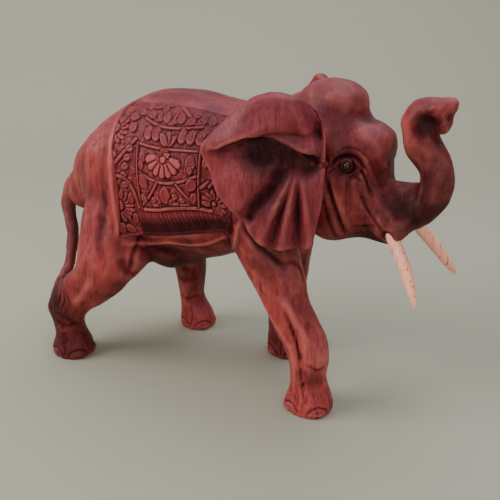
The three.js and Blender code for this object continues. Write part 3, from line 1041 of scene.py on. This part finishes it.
def flank_surface(carving, side, a, b):
    """Where each place of the panel lies on the flank, b being counted along the fans' curves."""
    columns = np.linspace(PANEL_A[0] - 2, PANEL_A[1] + 2, 44)
    y, z = ray_fans(carving, side, columns)
    arc = np.cumsum(np.hypot(np.diff(y, axis=1), np.diff(z, axis=1)), axis=1) / MM
    arc = np.hstack([np.zeros((len(columns), 1)), arc])
    foot = [np.interp(PANEL_FOOT * MM, heights, lengths) for heights, lengths in zip(z, arc)]
    arc -= np.array(foot)[:, None]
    which = np.clip((a - columns[0]) / (columns[1] - columns[0]), 0, len(columns) - 1.001)
    left = which.astype(int)
    share = which - left
    place = np.empty(a.shape + (3,))
    for index in range(len(columns) - 1):
        here = left == index
        for axis, values in ((1, y), (2, z)):
            ends = [np.interp(b[here], arc[index + k], values[index + k]) for k in (0, 1)]
            place[here, axis] = (1 - share[here]) * ends[0] + share[here] * ends[1]
    place[..., 0] = on_body(0, 0, 0)[0] + a * MM
    place[..., 1] += on_body(0, 0, 0)[1]
    return place


print("panel cells:", CLOTH_CELLS[0] * CLOTH_CELLS[1])

# %% [markdown]
# A carver's motifs are few: bands, leaves, discs and scrolls, and flowers and fans made of
# them. Each one here raises part of the ground, with a rounded edge, and may be scored with
# veins. Drawing them as heights over a and b gives true relief, which a bump would only fake.


# %% Relief motifs
GROUND = 0.15            # the height of the ground between the motifs, in millimetres
PER_DEGREE = 0.0175      # how long a degree of arc is at a radius of one


class Relief:
    """How high the carving stands over the panel's ground, in millimetres."""

    def __init__(self, a, b):
        self.a, self.b = a, b
        self.height = np.full(a.shape, GROUND)

    def raise_by(self, inside, height, edge=0.7, moat=True):
        """Raise what is inside, and cut a narrow moat round it."""
        if moat:
            self.height *= np.where(inside < 0, np.clip((-inside - 0.2) / 0.7, 0.1, 1), 1.0)
        level = np.clip(inside / edge, 0, 1)
        self.height = np.maximum(self.height, height * level * (2 - level))
        return self

    def cut(self, distance, width, depth):
        self.height -= depth * np.exp(-2.2 * (distance / width) ** 2)
        np.maximum(self.height, 0.0, out=self.height)
        return self

    def distance(self, points):
        """How far each place is from a smooth line through a few points."""
        flat = [(a, b, 0.0) for a, b in points]
        line = smooth_line(np.array(flat) * MM, 0.8)[:, :2] / MM
        best = np.full(self.a.shape, 1e9)
        for start, end in zip(line, line[1:]):
            run = end - start
            share = ((self.a - start[0]) * run[0] + (self.b - start[1]) * run[1]) / (run @ run + 1e-9)
            share = np.clip(share, 0, 1)
            apart = np.hypot(self.a - start[0] - share * run[0], self.b - start[1] - share * run[1])
            np.minimum(best, apart, out=best)
        return best

    def band(self, points, half_width, height=1.5, groove=True):
        """A raised band, with a groove along it or a plain top."""
        apart = self.distance(points)
        self.cut(np.abs(apart - half_width - 0.5), 0.5, 0.9)
        self.raise_by(half_width - apart, height, 0.5)
        if groove:
            self.cut(apart, 0.35, 0.55)
        return self

    def score(self, points, width=0.4, depth=0.7):
        return self.cut(self.distance(points), width, depth)

    def leaf(self, a, b, angle, length, half_width, height=1.5, veins=1, blunt=0.75, moat=True):
        """A leaf or petal from its root at (a, b), veined along its length."""
        turn = math.radians(angle)
        along = (self.a - a) * math.cos(turn) + (self.b - b) * math.sin(turn)
        across = -(self.a - a) * math.sin(turn) + (self.b - b) * math.cos(turn)
        share = np.clip(along / length, 0, 1)
        width = 1.18 * half_width * np.sin(np.pi * share ** 0.8) ** blunt
        beyond = np.maximum(-along, along - length)
        inside = np.where(beyond < 0, width - np.abs(across), -np.hypot(across, beyond))
        self.raise_by(inside, height, 0.6, moat)
        shape = inside > 0
        for vein in range(veins):
            lean = (vein - (veins - 1) / 2) * 0.55
            line = np.abs(across - lean * width)
            self.height -= np.where(shape, 0.5 * np.exp(-(line / 0.28) ** 2), 0)
        if veins == 0:
            dish = 0.35 * np.exp(-(across / (0.5 * half_width)) ** 2)
            self.height -= np.where(shape, dish, 0)
        return self

    def leaves(self, *rows):
        """Leaves of one vein, each with its root, angle, length and half width."""
        for row in rows:
            self.leaf(*row)
        return self

    def foliage(self, pitch, seed):
        """Small leaves in all directions, which fill the ground behind the drawing."""
        draw = np.random.default_rng(seed)
        for a in np.arange(-80, 24, pitch):
            for b in np.arange(6, 114, pitch):
                turn, push = draw.uniform(0, 360), draw.uniform(-1.2, 1.2, 2)
                self.leaf(a + push[0], b + push[1], turn, pitch * 1.7, pitch * 0.3,
                          height=0.8, blunt=0.9, moat=False)
        return self

    def disc(self, a, b, radius, height=1.5):
        apart = np.hypot(self.a - a, self.b - b)
        return self.raise_by(radius - apart, height, 1.2)

    def flower(self, a, b, inner, outer, first, last, petals):
        """Petals set round a heart, from one angle to another."""
        pitch = (last - first) / petals
        width = math.radians(abs(pitch)) * (inner + outer) * 0.27
        for petal in range(petals):
            angle = first + (petal + 0.5) * pitch
            turn = math.radians(angle)
            root = (a + inner * math.cos(turn), b + inner * math.sin(turn))
            self.leaf(*root, angle, outer - inner, width, blunt=0.5)
        return self.disc(a, b, inner - 0.7, 1.6)

    def fan(self, a, b, radius, first, last, petals):
        """A fan with a scalloped rim, scored from its root between the petals."""
        apart = np.hypot(self.a - a, self.b - b)
        angle = np.degrees(np.arctan2(self.b - b, self.a - a))
        share = (angle - first) / (last - first) * petals
        rim = radius - 2.2 * (1 - np.abs(np.sin(np.pi * np.clip(share, 0, petals)))) ** 1.5
        sides = np.minimum(angle - first, last - angle) * apart * PER_DEGREE
        self.raise_by(np.minimum(rim - apart, np.where(apart > 3, sides + 1.2, 3)), 1.75, 0.9)
        line = np.abs(share - np.round(share)) * apart * abs(last - first) / petals * PER_DEGREE
        scored = (apart > radius * 0.42) & (apart < rim) & (share > 0.5) & (share < petals - 0.5)
        self.height -= np.where(scored, 1.0 * np.exp(-(line / 0.5) ** 2), 0)
        ring = np.where(apart < rim, np.abs(apart - radius * 0.36), 9.0)
        return self.cut(ring, 0.5, 1.0)

    def scroll(self, a, b, radius, facing, rings=3):
        """Nested arcs that open downwards, on one raised lobe."""
        apart = np.hypot(self.a - a, self.b - b)
        lobe = np.hypot((self.a - a) * 1.12, (self.b - b + radius * 0.35) * 0.74)
        self.raise_by(radius - lobe, 1.5, 0.9)
        side_on = (self.a - a) * facing > -radius * 0.5
        for ring in range(1, rings + 1):
            line = np.abs(apart - radius * ring * 0.26)
            self.height -= np.where(side_on & (lobe < radius), 0.85 * np.exp(-(line / 0.36) ** 2), 0)
        np.maximum(self.height, 0.0, out=self.height)
        return self


print("motifs:", [name for name in vars(Relief) if not name.startswith("_")])

# %% [markdown]
# The cloth's drawing: an inner panel framed by bands holds a scalloped fan under five small
# leaves, over a field of leaves and round flowers. A row of scrolls and leaves runs above it,
# then a garland. The rear border has half flowers and crossing bars, the front border leaves and
# a flower, and a fringe hangs below. Small leaves fill the ground behind all of it.


# %% Garland and row of scrolls
def draw_garland(relief):
    relief.band([(-78, 111.5), (-50, 111.8), (-10, 112), (21, 110)], 0.9, 1.7, groove=False)
    relief.band([(-53.6, 105), (-44, 107), (-30, 112)], 1.2)
    relief.band([(-27, 111), (-20, 105), (-11.5, 98)], 1.2)
    relief.leaves((-46, 97, 110, 8, 2.7), (-40.5, 96.5, 75, 9, 2.7), (-34, 96, 105, 10, 2.7),
                  (-28.5, 96.5, 70, 11, 2.7), (-23, 97, 100, 9, 2.7), (-17.5, 97.5, 60, 7, 2.7),
                  (-8, 101, 60, 9, 2.7), (0, 100, 110, 9, 2.7), (7, 98, 70, 10, 2.7),
                  (-50, 103.5, 100, 6, 2.2), (-38, 103.5, 100, 6, 2.2), (-15, 103.5, 50, 6, 2.2))
    relief.band([(-52, 96.8), (-42, 94), (-32, 93.2), (-20, 94.6), (-7, 98)], 1.0)


def draw_scroll_row(relief):
    for centre, facing in [(-46.5, 1), (-40, 1), (-19.5, -1), (-13, -1), (-6, -1)]:
        relief.scroll(centre, 88.5 + 0.07 * (centre + 46), 4.2, facing)
    for angle in (54, 90, 126):
        relief.leaf(-30.2, 80.0, angle, 11.5, 2.4)
    relief.band([(-56, 78.6), (-44, 78.2), (-31, 78.4), (-17, 79.6), (-3, 81.2)], 0.9)


# %% Inner panel: the fan, and the field below it
FAN_ROOT = (-31.2, 73.5)


def draw_fan(relief):
    relief.scroll(-49, 70.5, 3.6, -1)
    relief.leaf(-49.3, 67.5, -86, 7.5, 1.9)
    relief.scroll(-10.2, 73.5, 4.2, 1)
    relief.leaf(-10.0, 70.0, -94, 6, 2.0)
    relief.fan(*FAN_ROOT, 15.2, -172, -8, 7)
    for angle in (148, 119, 90, 61, 32):
        relief.leaf(FAN_ROOT[0], FAN_ROOT[1] - 1, angle, 6.2, 1.8, height=1.8, veins=0)
    relief.leaf(*FAN_ROOT, -90, 5.2, 2.2, height=2.1, veins=0)
    relief.band([(-52, 59.8), (-42, 56.4), (-30, 55.4), (-17, 58.6), (-4.3, 65)], 1.0)


def draw_field(relief):
    relief.band([(-36, 54.5), (-41, 45.5), (-48.5, 36)], 0.9)
    relief.band([(-20.5, 56), (-14, 50.5), (-7, 45.5)], 0.9)
    relief.leaf(-29.4, 41, 90, 12.5, 3.7, blunt=0.6)
    relief.leaves((-33, 40, 135, 7.5, 2.0), (-25.5, 40.5, 55, 7.5, 2.0),
                  (-34.5, 38.5, 165, 7.5, 2.0), (-24, 40, 20, 7.5, 2.0))
    for a, b in [(-38.6, 41.8), (-21.6, 47.2), (-15.8, 45.6)]:
        relief.disc(a, b, 2.4)
        relief.score([(a - 1.2, b - 0.8), (a + 1.0, b + 0.9)])
    relief.leaf(-51, 57.5, -52, 12, 3.6, veins=4)
    relief.leaf(-48.5, 44, -60, 7, 2.2)
    relief.leaf(-6, 61.5, -128, 10.5, 3.4, veins=0)
    relief.leaves((-5.6, 53, -110, 8, 2.4), (-18, 41.5, 8, 10, 1.7))
    relief.band([(-51.5, 31.8), (-38, 34.2), (-24, 38.2), (-4, 42.6), (6, 43.2)], 1.15)
    relief.band([(-53.8, 79), (-52.6, 66), (-51.2, 48), (-49.8, 32)], 0.7, 1.5, groove=False)
    relief.band([(-4.0, 82), (-3.4, 66), (-3.4, 44)], 0.7, 1.5, groove=False)


# %% Borders and fringe
FRINGE_TOP = ([-51, -38, -24, -4, 21], [30, 32.4, 36.4, 40.8, 41.5])
FRINGE_REAR = -54.5
THREAD_PITCH = 2.1


def draw_rear_border(relief):
    relief.flower(-76.0, 86, 4.6, 12.5, -100, 70, 7)
    relief.leaves((-71, 96, 60, 11, 3.4), (-66, 95, 15, 10, 3.2))
    relief.leaf(-62, 84, 70, 9, 2.8, veins=2)
    relief.leaves((-60, 102, -20, 8, 2.6), (-75, 70, -78, 11, 3.0))
    relief.band([(-56, 80.5), (-63, 71.5), (-72.5, 60.5)], 1.5)
    for step in range(4):
        relief.leaf(-57 - 1.6 * step, 74 - 6.2 * step, 200 + 6 * step, 7, 2.3)
    relief.band([(-70, 52.5), (-63, 51.0), (-56.5, 45.5), (-52, 33)], 1.3)
    relief.flower(-69.8, 30.5, 5.0, 13.5, -82, 84, 8)
    relief.leaf(-58.5, 42, -92, 9, 2.2, veins=2)
    relief.leaves((-66, 46, 20, 7, 2.2), (-69.5, 17, -75, 9, 2.8), (-65.5, 15.5, -40, 9, 2.4),
                  (-56.5, 27, -95, 9, 2.2))


def draw_front_border(relief):
    for step in range(3):
        relief.band([(-1.5 + 6 * step, 58 + 2 * step), (4 + 5 * step, 63 + 2 * step)], 1.2)
    relief.leaf(-0.5, 72, 60, 9, 2.6)
    relief.leaf(4, 80, 20, 9, 2.6, veins=2)
    relief.leaves((-1, 85, 75, 9, 2.8), (10, 88, 120, 9, 2.8), (16, 74, 100, 10, 2.6))
    relief.flower(8, 48.5, 2.6, 9.5, -60, 200, 9)


def draw_fringe(relief):
    """Threads side by side under the field, and a plain hem below them."""
    low = np.interp(relief.a, *LOWER_EDGE)
    over_low = relief.b - low
    share = over_low / (np.interp(relief.a, *FRINGE_TOP) - low)
    turn = 2 * math.pi * (relief.a + 0.22 * over_low + 0.3 * np.sin(relief.a)) / THREAD_PITCH
    thread = 0.5 + 0.5 * np.sin(turn)
    fullness = 1.25 * np.clip(share * 5, 0, 1) * np.clip((1 - share) * 6, 0.2, 1)
    inside = (relief.a > FRINGE_REAR) & (share < 1)
    relief.height = np.where(inside, fullness * (0.15 + 0.85 * thread), relief.height)
    hem = np.clip(1 - over_low / 2.6, 0, 1)
    relief.height = np.where(hem > 0.02, 0.2 + 1.3 * hem ** 0.5, relief.height)


def draw_cloth(a, b):
    """The whole drawing, a little lower on the back and with a rounded rear edge."""
    relief = Relief(a, b)
    relief.foliage(pitch=4.6, seed=3)
    for draw_part in (draw_garland, draw_scroll_row, draw_fan, draw_field, draw_rear_border,
                      draw_front_border, draw_fringe):
        draw_part(relief)
    relief.height *= np.interp(b, [90, 104], [1.0, 0.72])
    from_rear = a - np.interp(b, *REAR_EDGE)
    rounded = 1.5 * np.clip(1 - from_rear / 1.1, 0, 1) ** 0.5
    height = np.where(from_rear < 1.1, rounded, relief.height)
    return np.where(b > 110, np.minimum(height, 0.12 * (PANEL_TOP - b) + 0.3), height)


panel_a, panel_b = panel_grid()
cloth_height = draw_cloth(panel_a, panel_b)
even_out(cloth_height, 1, keep=0.5)
print("the drawing stands up to", round(float(cloth_height.max()), 2), "mm high")

# %% [markdown]
# Each panel is a grid with the drawing's heights, laid on the flank as a thin tile. Its rim goes
# in under the skin, and the skin below it is lowered, so cloth and flank read as one piece of
# wood. A modifier could push the relief out of a texture, but it would need cells as fine all
# over the body.


# %% Saddle cloths
def flank_facing(place, side):
    """The direction that faces out from the flank at each place of the panel."""
    facing = np.cross(np.gradient(place, axis=0), np.gradient(place, axis=1)) * -side
    facing /= np.linalg.norm(facing, axis=2)[..., None]
    return facing if np.mean(facing[..., 1]) * side > 0 else -facing


def cloth_tile(name, side, place):
    """A grid laid on the places, with its rim turned in and its back closed."""
    bm = bmesh.new()
    bmesh.ops.create_grid(bm, x_segments=CLOTH_CELLS[0], y_segments=CLOTH_CELLS[1], size=1.0)
    for vert in bm.verts:
        i = round((vert.co.x + 1) / 2 * CLOTH_CELLS[0])
        j = round((vert.co.y + 1) / 2 * CLOTH_CELLS[1])
        vert.co = Vector(place[i, j])
    if side == LEFT:
        bmesh.ops.reverse_faces(bm, faces=bm.faces)
    rim = bmesh.ops.extrude_edge_only(bm, edges=[e for e in bm.edges if e.is_boundary])
    inner = [v for v in rim["geom"] if isinstance(v, bmesh.types.BMVert)]
    bmesh.ops.translate(bm, verts=inner, vec=(0, -side * 3.5 * MM, -0.5 * MM))
    bmesh.ops.holes_fill(bm, edges=[e for e in bm.edges if e.is_boundary], sides=0)
    return new_piece(name, bm)


def cloth_handling(a, b, height):
    """Hollow (stain and painted shade), worn ridge and a darker fringe over the panel, from the
    drawing itself.
    """
    around = height.copy()
    even_out(around, 24)
    # Stain and painted shade on the ground between the motifs.
    hollow = np.clip((around - height - 0.08) / 0.75, 0, 1) + np.clip(0.3 - height, 0, 1)
    proud = np.clip((height - around - 0.15) / 0.7, 0, 1) + 0.8 * (height > 1.62)
    fringe = np.clip((np.interp(a, *LOWER_EDGE) + 15 - b) / 6, 0, 1) * (a > -54)
    return np.stack([np.clip(hollow, 0, 1), np.clip(proud, 0, 1), 0.75 * fringe], axis=2)


def add_saddle_cloth(hand, carving):
    side = SIDES[hand]
    ground = flank_surface(carving, side, panel_a, panel_b)
    facing = flank_facing(ground, side)
    place = ground + facing * ((cloth_height - GROUND) * MM)[..., None]
    cloth = cloth_tile(f"saddle_cloth_{hand}", side, place)
    tree = tree_of(place.reshape(-1, 3))
    owner = [tree.find(vert.co)[1] for vert in cloth.data.vertices]
    handling = cloth_handling(panel_a, panel_b, cloth_height)
    store_colours(cloth, handling.reshape(-1, 3)[owner])
    put_on(cloth, cloth_wood)
    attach(cloth, "root")
    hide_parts("body_carving")
    return ground, facing


SKIN_DROP = 0.9 * MM


def sink_under_cloth(carving, place, facing):
    """Lower the skin that a panel covers, so that only the panel shows."""
    coarse, ways = place[2:-2:3, 2:-2:3], facing[2:-2:3, 2:-2:3]
    rows, across = coarse.shape[:2]
    tree = tree_of(coarse.reshape(-1, 3))
    low, high = place.reshape(-1, 3).min(axis=0), place.reshape(-1, 3).max(axis=0)
    close = np.all((carving.points > low - 2 * MM) & (carving.points < high + 2 * MM), axis=1)
    for index in np.flatnonzero(close):
        spot, number, apart = tree.find(carving.points[index])
        i, j = divmod(number, across)
        rim = min(i, j, rows - 1 - i, across - 1 - j)
        if apart < 4 * MM and rim > 0:
            way = ways[i, j]
            over = (carving.points[index] - spot) @ way + SKIN_DROP
            carving.points[index] -= way * max(0.0, over) * min(1.0, rim / 2)


cloth_wood = red_wood("stained_cloth_wood", [
    srgb(94, 20, 26), srgb(134, 39, 44), srgb(148, 50, 54),
    srgb(106, 26, 32), srgb(42, 5, 10), srgb(196, 96, 90)])
carving = Carving(body)
laid = [add_saddle_cloth(hand, carving) for hand in SIDES]
for ground, facing in laid:
    sink_under_cloth(carving, ground, facing)
carving.done()
print("two saddle cloths")

# %% [markdown]
# A carved surface is never quite round: the knife leaves small planes that meet in soft edges,
# and they catch the light. Points drawn at random each own the skin round them, which is pressed
# towards its own plane. The eyes are left alone. Shade is painted dark, with some thicker stain,
# round the mouth, in the trunk's curl, under the belly, on the far legs and at the hocks.

# %% Knife planes all over
carving = Carving(body)
near_eyes = near(body, [(EYE[RIGHT], 13), (EYE[LEFT], 13)])
carving.knife_planes(9, 0.35, 11, np.where(near_eyes, 0.0, 1.0))
carving.done()
relax(body, 1, ~near_eyes)
points = points_of(body)
points[:, 2] = np.maximum(points[:, 2], 0.0)
set_points(body, points)
print("the feet stand at", points[:, 2].min())

# %% Where shade is painted, with some thicker stain
DARK_ZONES = [
    (on_head(62, 0, 156), 54, 0.62), (on_head(86, 0, 150), 34, 1.0),
    (on_head(68, 0, 130), 36, 1.0), (on_head(104, 0, 178), 34, 0.7),
    (on_head(100, 0, 156), 27, 1.0), (on_head(66, 0, 190), 30, 0.5),
    (on_head(36, 0, 216), 40, 0.42), (on_body(-40, 0, 206), 46, 0.25),
    (on_body(-42, 0, 92), 46, 1.0), (on_body(-124, -44, 14), 38, 0.62),
    (on_body(-150, -14, 88), 52, 0.68), (on_body(-136, -46, 44), 30, 0.8),
    (on_body(-76, -50, 60), 22, 0.6), (on_body(50, -42, 118), 20, 0.6),
    (on_body(-64, 44, 60), 44, 0.55), (on_body(80, -46, 30), 12, 0.5),
    (on_body(30, 33, 60), 60, 0.4),
]
for side in (RIGHT, LEFT):
    DARK_ZONES += [(EYE[side], 16, 0.85), (on_head(40, 34 * side, 178), 17, 0.7),
                   (on_head(97, 8 * side, 209), 11, 1.0)]
hollow = store_handling(body, reach=10, depth=0.52, dark_zones=DARK_ZONES)
put_on(body, body_wood)
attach(body, "root")
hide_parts("body_carving")
print("hollows cover", round(float(np.mean(hollow > 0.3)) * 100), "% of the skin")

# %% [markdown]
# Each ear is carved from a board of its own. The top rolls over outwards in a thick fold that
# hangs over a deep hollow. Behind it swells a rounded lobe, and a valley parts that from the
# lower lobe, which spreads in flutes from the ear's root. Strokes are too narrow for such
# bends, so a formula gives how far the skin stands out from the board, by how far back (u) and
# how high (z) a point lies. The inner face follows it less.


# %% Ear carving
EAR_SPREAD = math.radians(28)
EAR_ROOT = {RIGHT: (40, 32, 0.0), LEFT: (19, 32, 3.5)}
FOLD_EDGE = ([-4, 4, 10.5, 14, 19.5, 27.5, 36, 44, 53.5, 63, 72, 80],
             [186, 187, 188.5, 190, 193, 196.6, 198.6, 198, 194.4, 189.5, 187.5, 186])


def blob(u, z, at_u, at_z, wide, tall):
    """A soft round rise that is 1 in its middle."""
    return np.exp(-((u - at_u) / wide) ** 2 - ((z - at_z) / tall) ** 2)


def along_line(u, z, points):
    """How far a place is from a line of points on the board, and on which side."""
    best = np.full(u.shape, 1e9)
    sign = np.zeros(u.shape)
    for (ua, za), (ub, zb) in zip(points, points[1:]):
        run = np.array([ub - ua, zb - za])
        share = np.clip(((u - ua) * run[0] + (z - za) * run[1]) / (run @ run), 0, 1)
        apart = np.hypot(u - ua - share * run[0], z - za - share * run[1])
        turn = (u - ua) * run[1] - (z - za) * run[0]
        sign = np.where(apart < best, np.sign(turn), sign)
        best = np.minimum(best, apart)
    return best * sign


VALLEY = [(18, 185), (22, 176), (27, 167), (32, 160), (39, 153), (46, 145)]
EAR_HUB = (12, 184)      # where the flutes spread from
FLUTES = [(24, 4.5, 2.8), (17, 3.0, -1.6), (9.6, 4.2, 2.6), (0.4, 4.5, -3.8), (-11, 5.0, 2.4)]
TEMPLE_EDGE = ([184, 191, 198, 207, 217], [-3.5, -1, 4, 9, 14])


def ear_height(u, z):
    """How far the outer face stands beyond the board's plane, in millimetres."""
    above = z - np.interp(u, *FOLD_EDGE)
    ends = np.clip((u + 2) / 14, 0, 1) * np.clip((77 - u) / 16, 0, 1) ** 0.6
    lip = np.where(above > 0, np.exp(-(above / 9.0) ** 2), 0)
    under = np.where(above <= 0, np.exp(-(above / 13.0) ** 2), 0)
    height = 6.5 * lip * ends
    height -= 4.6 * under * ends * np.clip((70 - u) / 20, 0, 1)
    height -= 4.0 * blob(u, z, 31, 189, 15, 9) + 5.5 * blob(u, z, 6, 180, 10, 6.5)
    height -= 5.4 * np.exp(-(along_line(u, z, VALLEY) / 4.6) ** 2)
    height += 5.6 * blob(u, z, 50, 166, 13, 16) + 1.6 * blob(u, z, 47, 151, 7, 7)
    reach = np.hypot(u - EAR_HUB[0], z - EAR_HUB[1])
    angle = np.degrees(np.arctan2(u - EAR_HUB[0], EAR_HUB[1] - z))
    spread = np.clip((reach - 8) / 26, 0, 1) * (z < EAR_HUB[1])
    for middle, width, rise in FLUTES:
        height += rise * spread * np.exp(-((angle - middle) / width) ** 2)
    height += 1.2 * blob(u, z, 12, 170, 12, 12)
    behind = u - np.interp(z, *TEMPLE_EDGE)
    height -= 8.0 * np.clip((3.0 - behind) / 8, 0, 1) ** 1.5 * (z > EAR_HUB[1])
    return np.where(height > 0, height * np.clip((75 - u) / 25, 0.1, 1), height)


def ear_lift(u, z, side):
    """How far the ear's edge is drawn up: the left ear peaks above the crown."""
    crest = 3.0 if side == RIGHT else 5.5 * np.exp(-((u - 36.5) / 7) ** 2) - 5.2
    lift = crest * np.clip((z - 200) / 18, 0, 1) ** 2 - 3.6 * np.clip((152 - z) / 24, 0, 1) ** 2
    return lift - 6.0 * np.clip((17 - u) / 14, 0, 1) * np.clip((154 - z) / 18, 0, 1)


def bend_ear(ear, side, root, back, outward):
    """Move the board's points out, up and back, and leave its root where the cheek holds it."""
    points = points_of(ear)
    u, z = (points - root) @ back / MM, (points - root) @ UP / MM
    height = ear_height(u, z)
    on_outer = np.clip(((points - root) @ outward / MM + 1.0) / 2.0, 0, 1)
    lifted = on_outer * height + (1 - on_outer) * np.clip(height, -1.5, 2.5)
    spread = 2.8 * blob(u, z, 60, 164, 14, 13) - 2.8 * blob(u, z, 45, 143, 9, 5)
    free = np.clip((u + 3) / 5, 0, 1)
    moved = outward * (lifted * free * MM)[:, None]
    moved += UP * (ear_lift(u, z, side) * free * MM)[:, None]
    moved += back * (spread * MM)[:, None]
    set_points(ear, points + moved)


# Painted shade in the hollow under the fold and along the valley.
EAR_HOLLOWS = [(33, 188, 21, 0.95), (20, 186, 16, 0.95), (6, 182, 11, 0.9), (25, 175, 13, 0.75),
               (31, 164, 12, 0.6), (38, 155, 11, 0.5)]


def add_ear(hand):
    side = SIDES[hand]
    ear = fine_copy(f"ear_{hand}", f"ear_{hand}_carved", 0.8)
    relax(ear, 3)
    root_forward, root_out, root_z = EAR_ROOT[side]
    root = on_head(root_forward, root_out * side, root_z)
    back = -math.cos(EAR_SPREAD) * FORWARD + math.sin(EAR_SPREAD) * side * SIDEWAYS
    outward = math.sin(EAR_SPREAD) * FORWARD + math.cos(EAR_SPREAD) * side * SIDEWAYS
    bend_ear(ear, side, root, back, outward)
    relax(ear, 3)
    Carving(ear).knife_planes(7, 0.3, 5 + side).done()
    relax(ear, 1)
    zones = [(root + (u * back + z * UP) * MM, radius, amount)
             for u, z, radius, amount in EAR_HOLLOWS]
    store_handling(ear, reach=14, depth=0.75, dark_zones=zones)
    put_on(ear, ear_wood)
    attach(ear, "root")
    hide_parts(f"ear_{hand}")
    print(hand, "ear cells:", len(ear.data.polygons))


for hand in SIDES:
    add_ear(hand)

# %% [markdown]
# The tusks are whittled pegs of pale wood with brown pores along them, so they are carved as
# the body was. The pupils are polished black beads, each an icosphere, whose faces are even all
# round. Each ear is held by a turned pin with a ring cut round its head: a short cylinder whose
# end is inset twice and whose rims are bevelled.


# %% Tusks, pupils and pins
def pale_wood(name, pale, warm, brown):
    """Unstained wood whose pores run along the tusk as thin brown dashes."""
    finish = Finish(name)
    lean = (0.0, math.radians(-52), 0.0)
    shades = finish.noise(7, (1, 1, 4), detail=3, turn=lean)
    dashes = finish.noise(1.6, (1, 1, 14), detail=3, rough=0.6, turn=lean)
    specks = finish.noise(0.7, (1, 1, 6), detail=2, turn=lean)
    colour = finish.blend(finish.spread(shades, 0.35, 0.65), pale, warm)
    colour = finish.blend(finish.spread(dashes, 0.57, 0.70, 0.0, 0.8), colour, brown)
    colour = finish.blend(finish.spread(specks, 0.64, 0.76, 0.0, 0.35), colour, brown)
    finish.links.new(colour, finish.shader.inputs["Base Color"])
    finish.links.new(finish.spread(shades, 0.3, 0.7, 0.42, 0.58), finish.shader.inputs["Roughness"])
    finish.bump(finish.spread(dashes, 0.4, 0.7, 1.0, 0.0), 0.2)
    return finish.material


def black_bead(name):
    finish = Finish(name)
    cloud = finish.noise(1.2, detail=2)
    colour = finish.blend(finish.spread(cloud, 0.4, 0.7), srgb(9, 7, 8), srgb(26, 17, 17))
    finish.links.new(colour, finish.shader.inputs["Base Color"])
    finish.links.new(finish.spread(cloud, 0.3, 0.7, 0.13, 0.24), finish.shader.inputs["Roughness"])
    finish.bump(cloud, 0.02)
    return finish.material


tusk_wood = pale_wood("pale_tusk_wood", srgb(255, 192, 162), srgb(255, 160, 130), srgb(132, 52, 42))
bead_black = black_bead("polished_bead")


def add_tusk(hand):
    tusk = fine_copy(f"tusk_{hand}", f"tusk_{hand}_carved", 0.55)
    relax(tusk, 3)
    carving = Carving(tusk)
    carving.swell(on_head(94, 21 * SIDES[hand], 130), 40, 2.1)
    carving.knife_planes(5, 0.5, 21).done()
    relax(tusk, 1)
    put_on(tusk, tusk_wood)
    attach(tusk, "root")
    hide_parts(f"tusk_{hand}")


def middle_and_radius(node):
    """The middle of a round node and its radius, from its box."""
    low, high = (Vector(corner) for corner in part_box(node))
    return (low + high) / 2, (high.z - low.z) / 2


def add_pupil(hand):
    middle, radius = middle_and_radius(f"pupil_{hand}")
    bm = bmesh.new()
    bmesh.ops.create_icosphere(bm, subdivisions=4, radius=radius)
    bmesh.ops.translate(bm, verts=bm.verts, vec=middle)
    bead = new_piece(f"pupil_{hand}_bead", bm)
    put_on(bead, bead_black)
    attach(bead, "root")
    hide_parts(f"pupil_{hand}")


PIN_LENGTH = 8 * MM
PIN_STEPS = [(0.35, -0.3), (0.3, 0.45)]      # how far in and how far out each ring of the head is


def add_ear_pin(hand):
    middle, radius = middle_and_radius(f"ear_pin_{hand}")
    bm = bmesh.new()
    bmesh.ops.create_cone(bm, cap_ends=True, segments=40, radius1=radius, radius2=radius,
                          depth=PIN_LENGTH)
    head = max(bm.faces, key=lambda face: face.calc_center_median().z)
    for inset, rise in PIN_STEPS:
        bmesh.ops.inset_region(bm, faces=[head], thickness=inset * MM, depth=rise * MM)
    rims = [e for e in bm.edges if abs(e.verts[0].co.z - e.verts[1].co.z) < 1e-7]
    bmesh.ops.bevel(bm, geom=rims, offset=0.12 * MM, offset_type="OFFSET", affect="EDGES",
                    segments=2, profile=0.5, material=-1)
    turn = Vector(UP).rotation_difference(Vector(SIDES[hand] * SIDEWAYS)).to_matrix().to_4x4()
    bmesh.ops.transform(bm, verts=bm.verts, matrix=Matrix.Translation(middle) @ turn)
    pin = new_piece(f"ear_pin_{hand}_turned", bm)
    put_on(pin, ear_wood)
    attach(pin, "root")
    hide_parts(f"ear_pin_{hand}")


for hand in SIDES:
    add_tusk(hand)
    add_pupil(hand)
    add_ear_pin(hand)
print("tusks, beads and pins")

# %% [markdown]
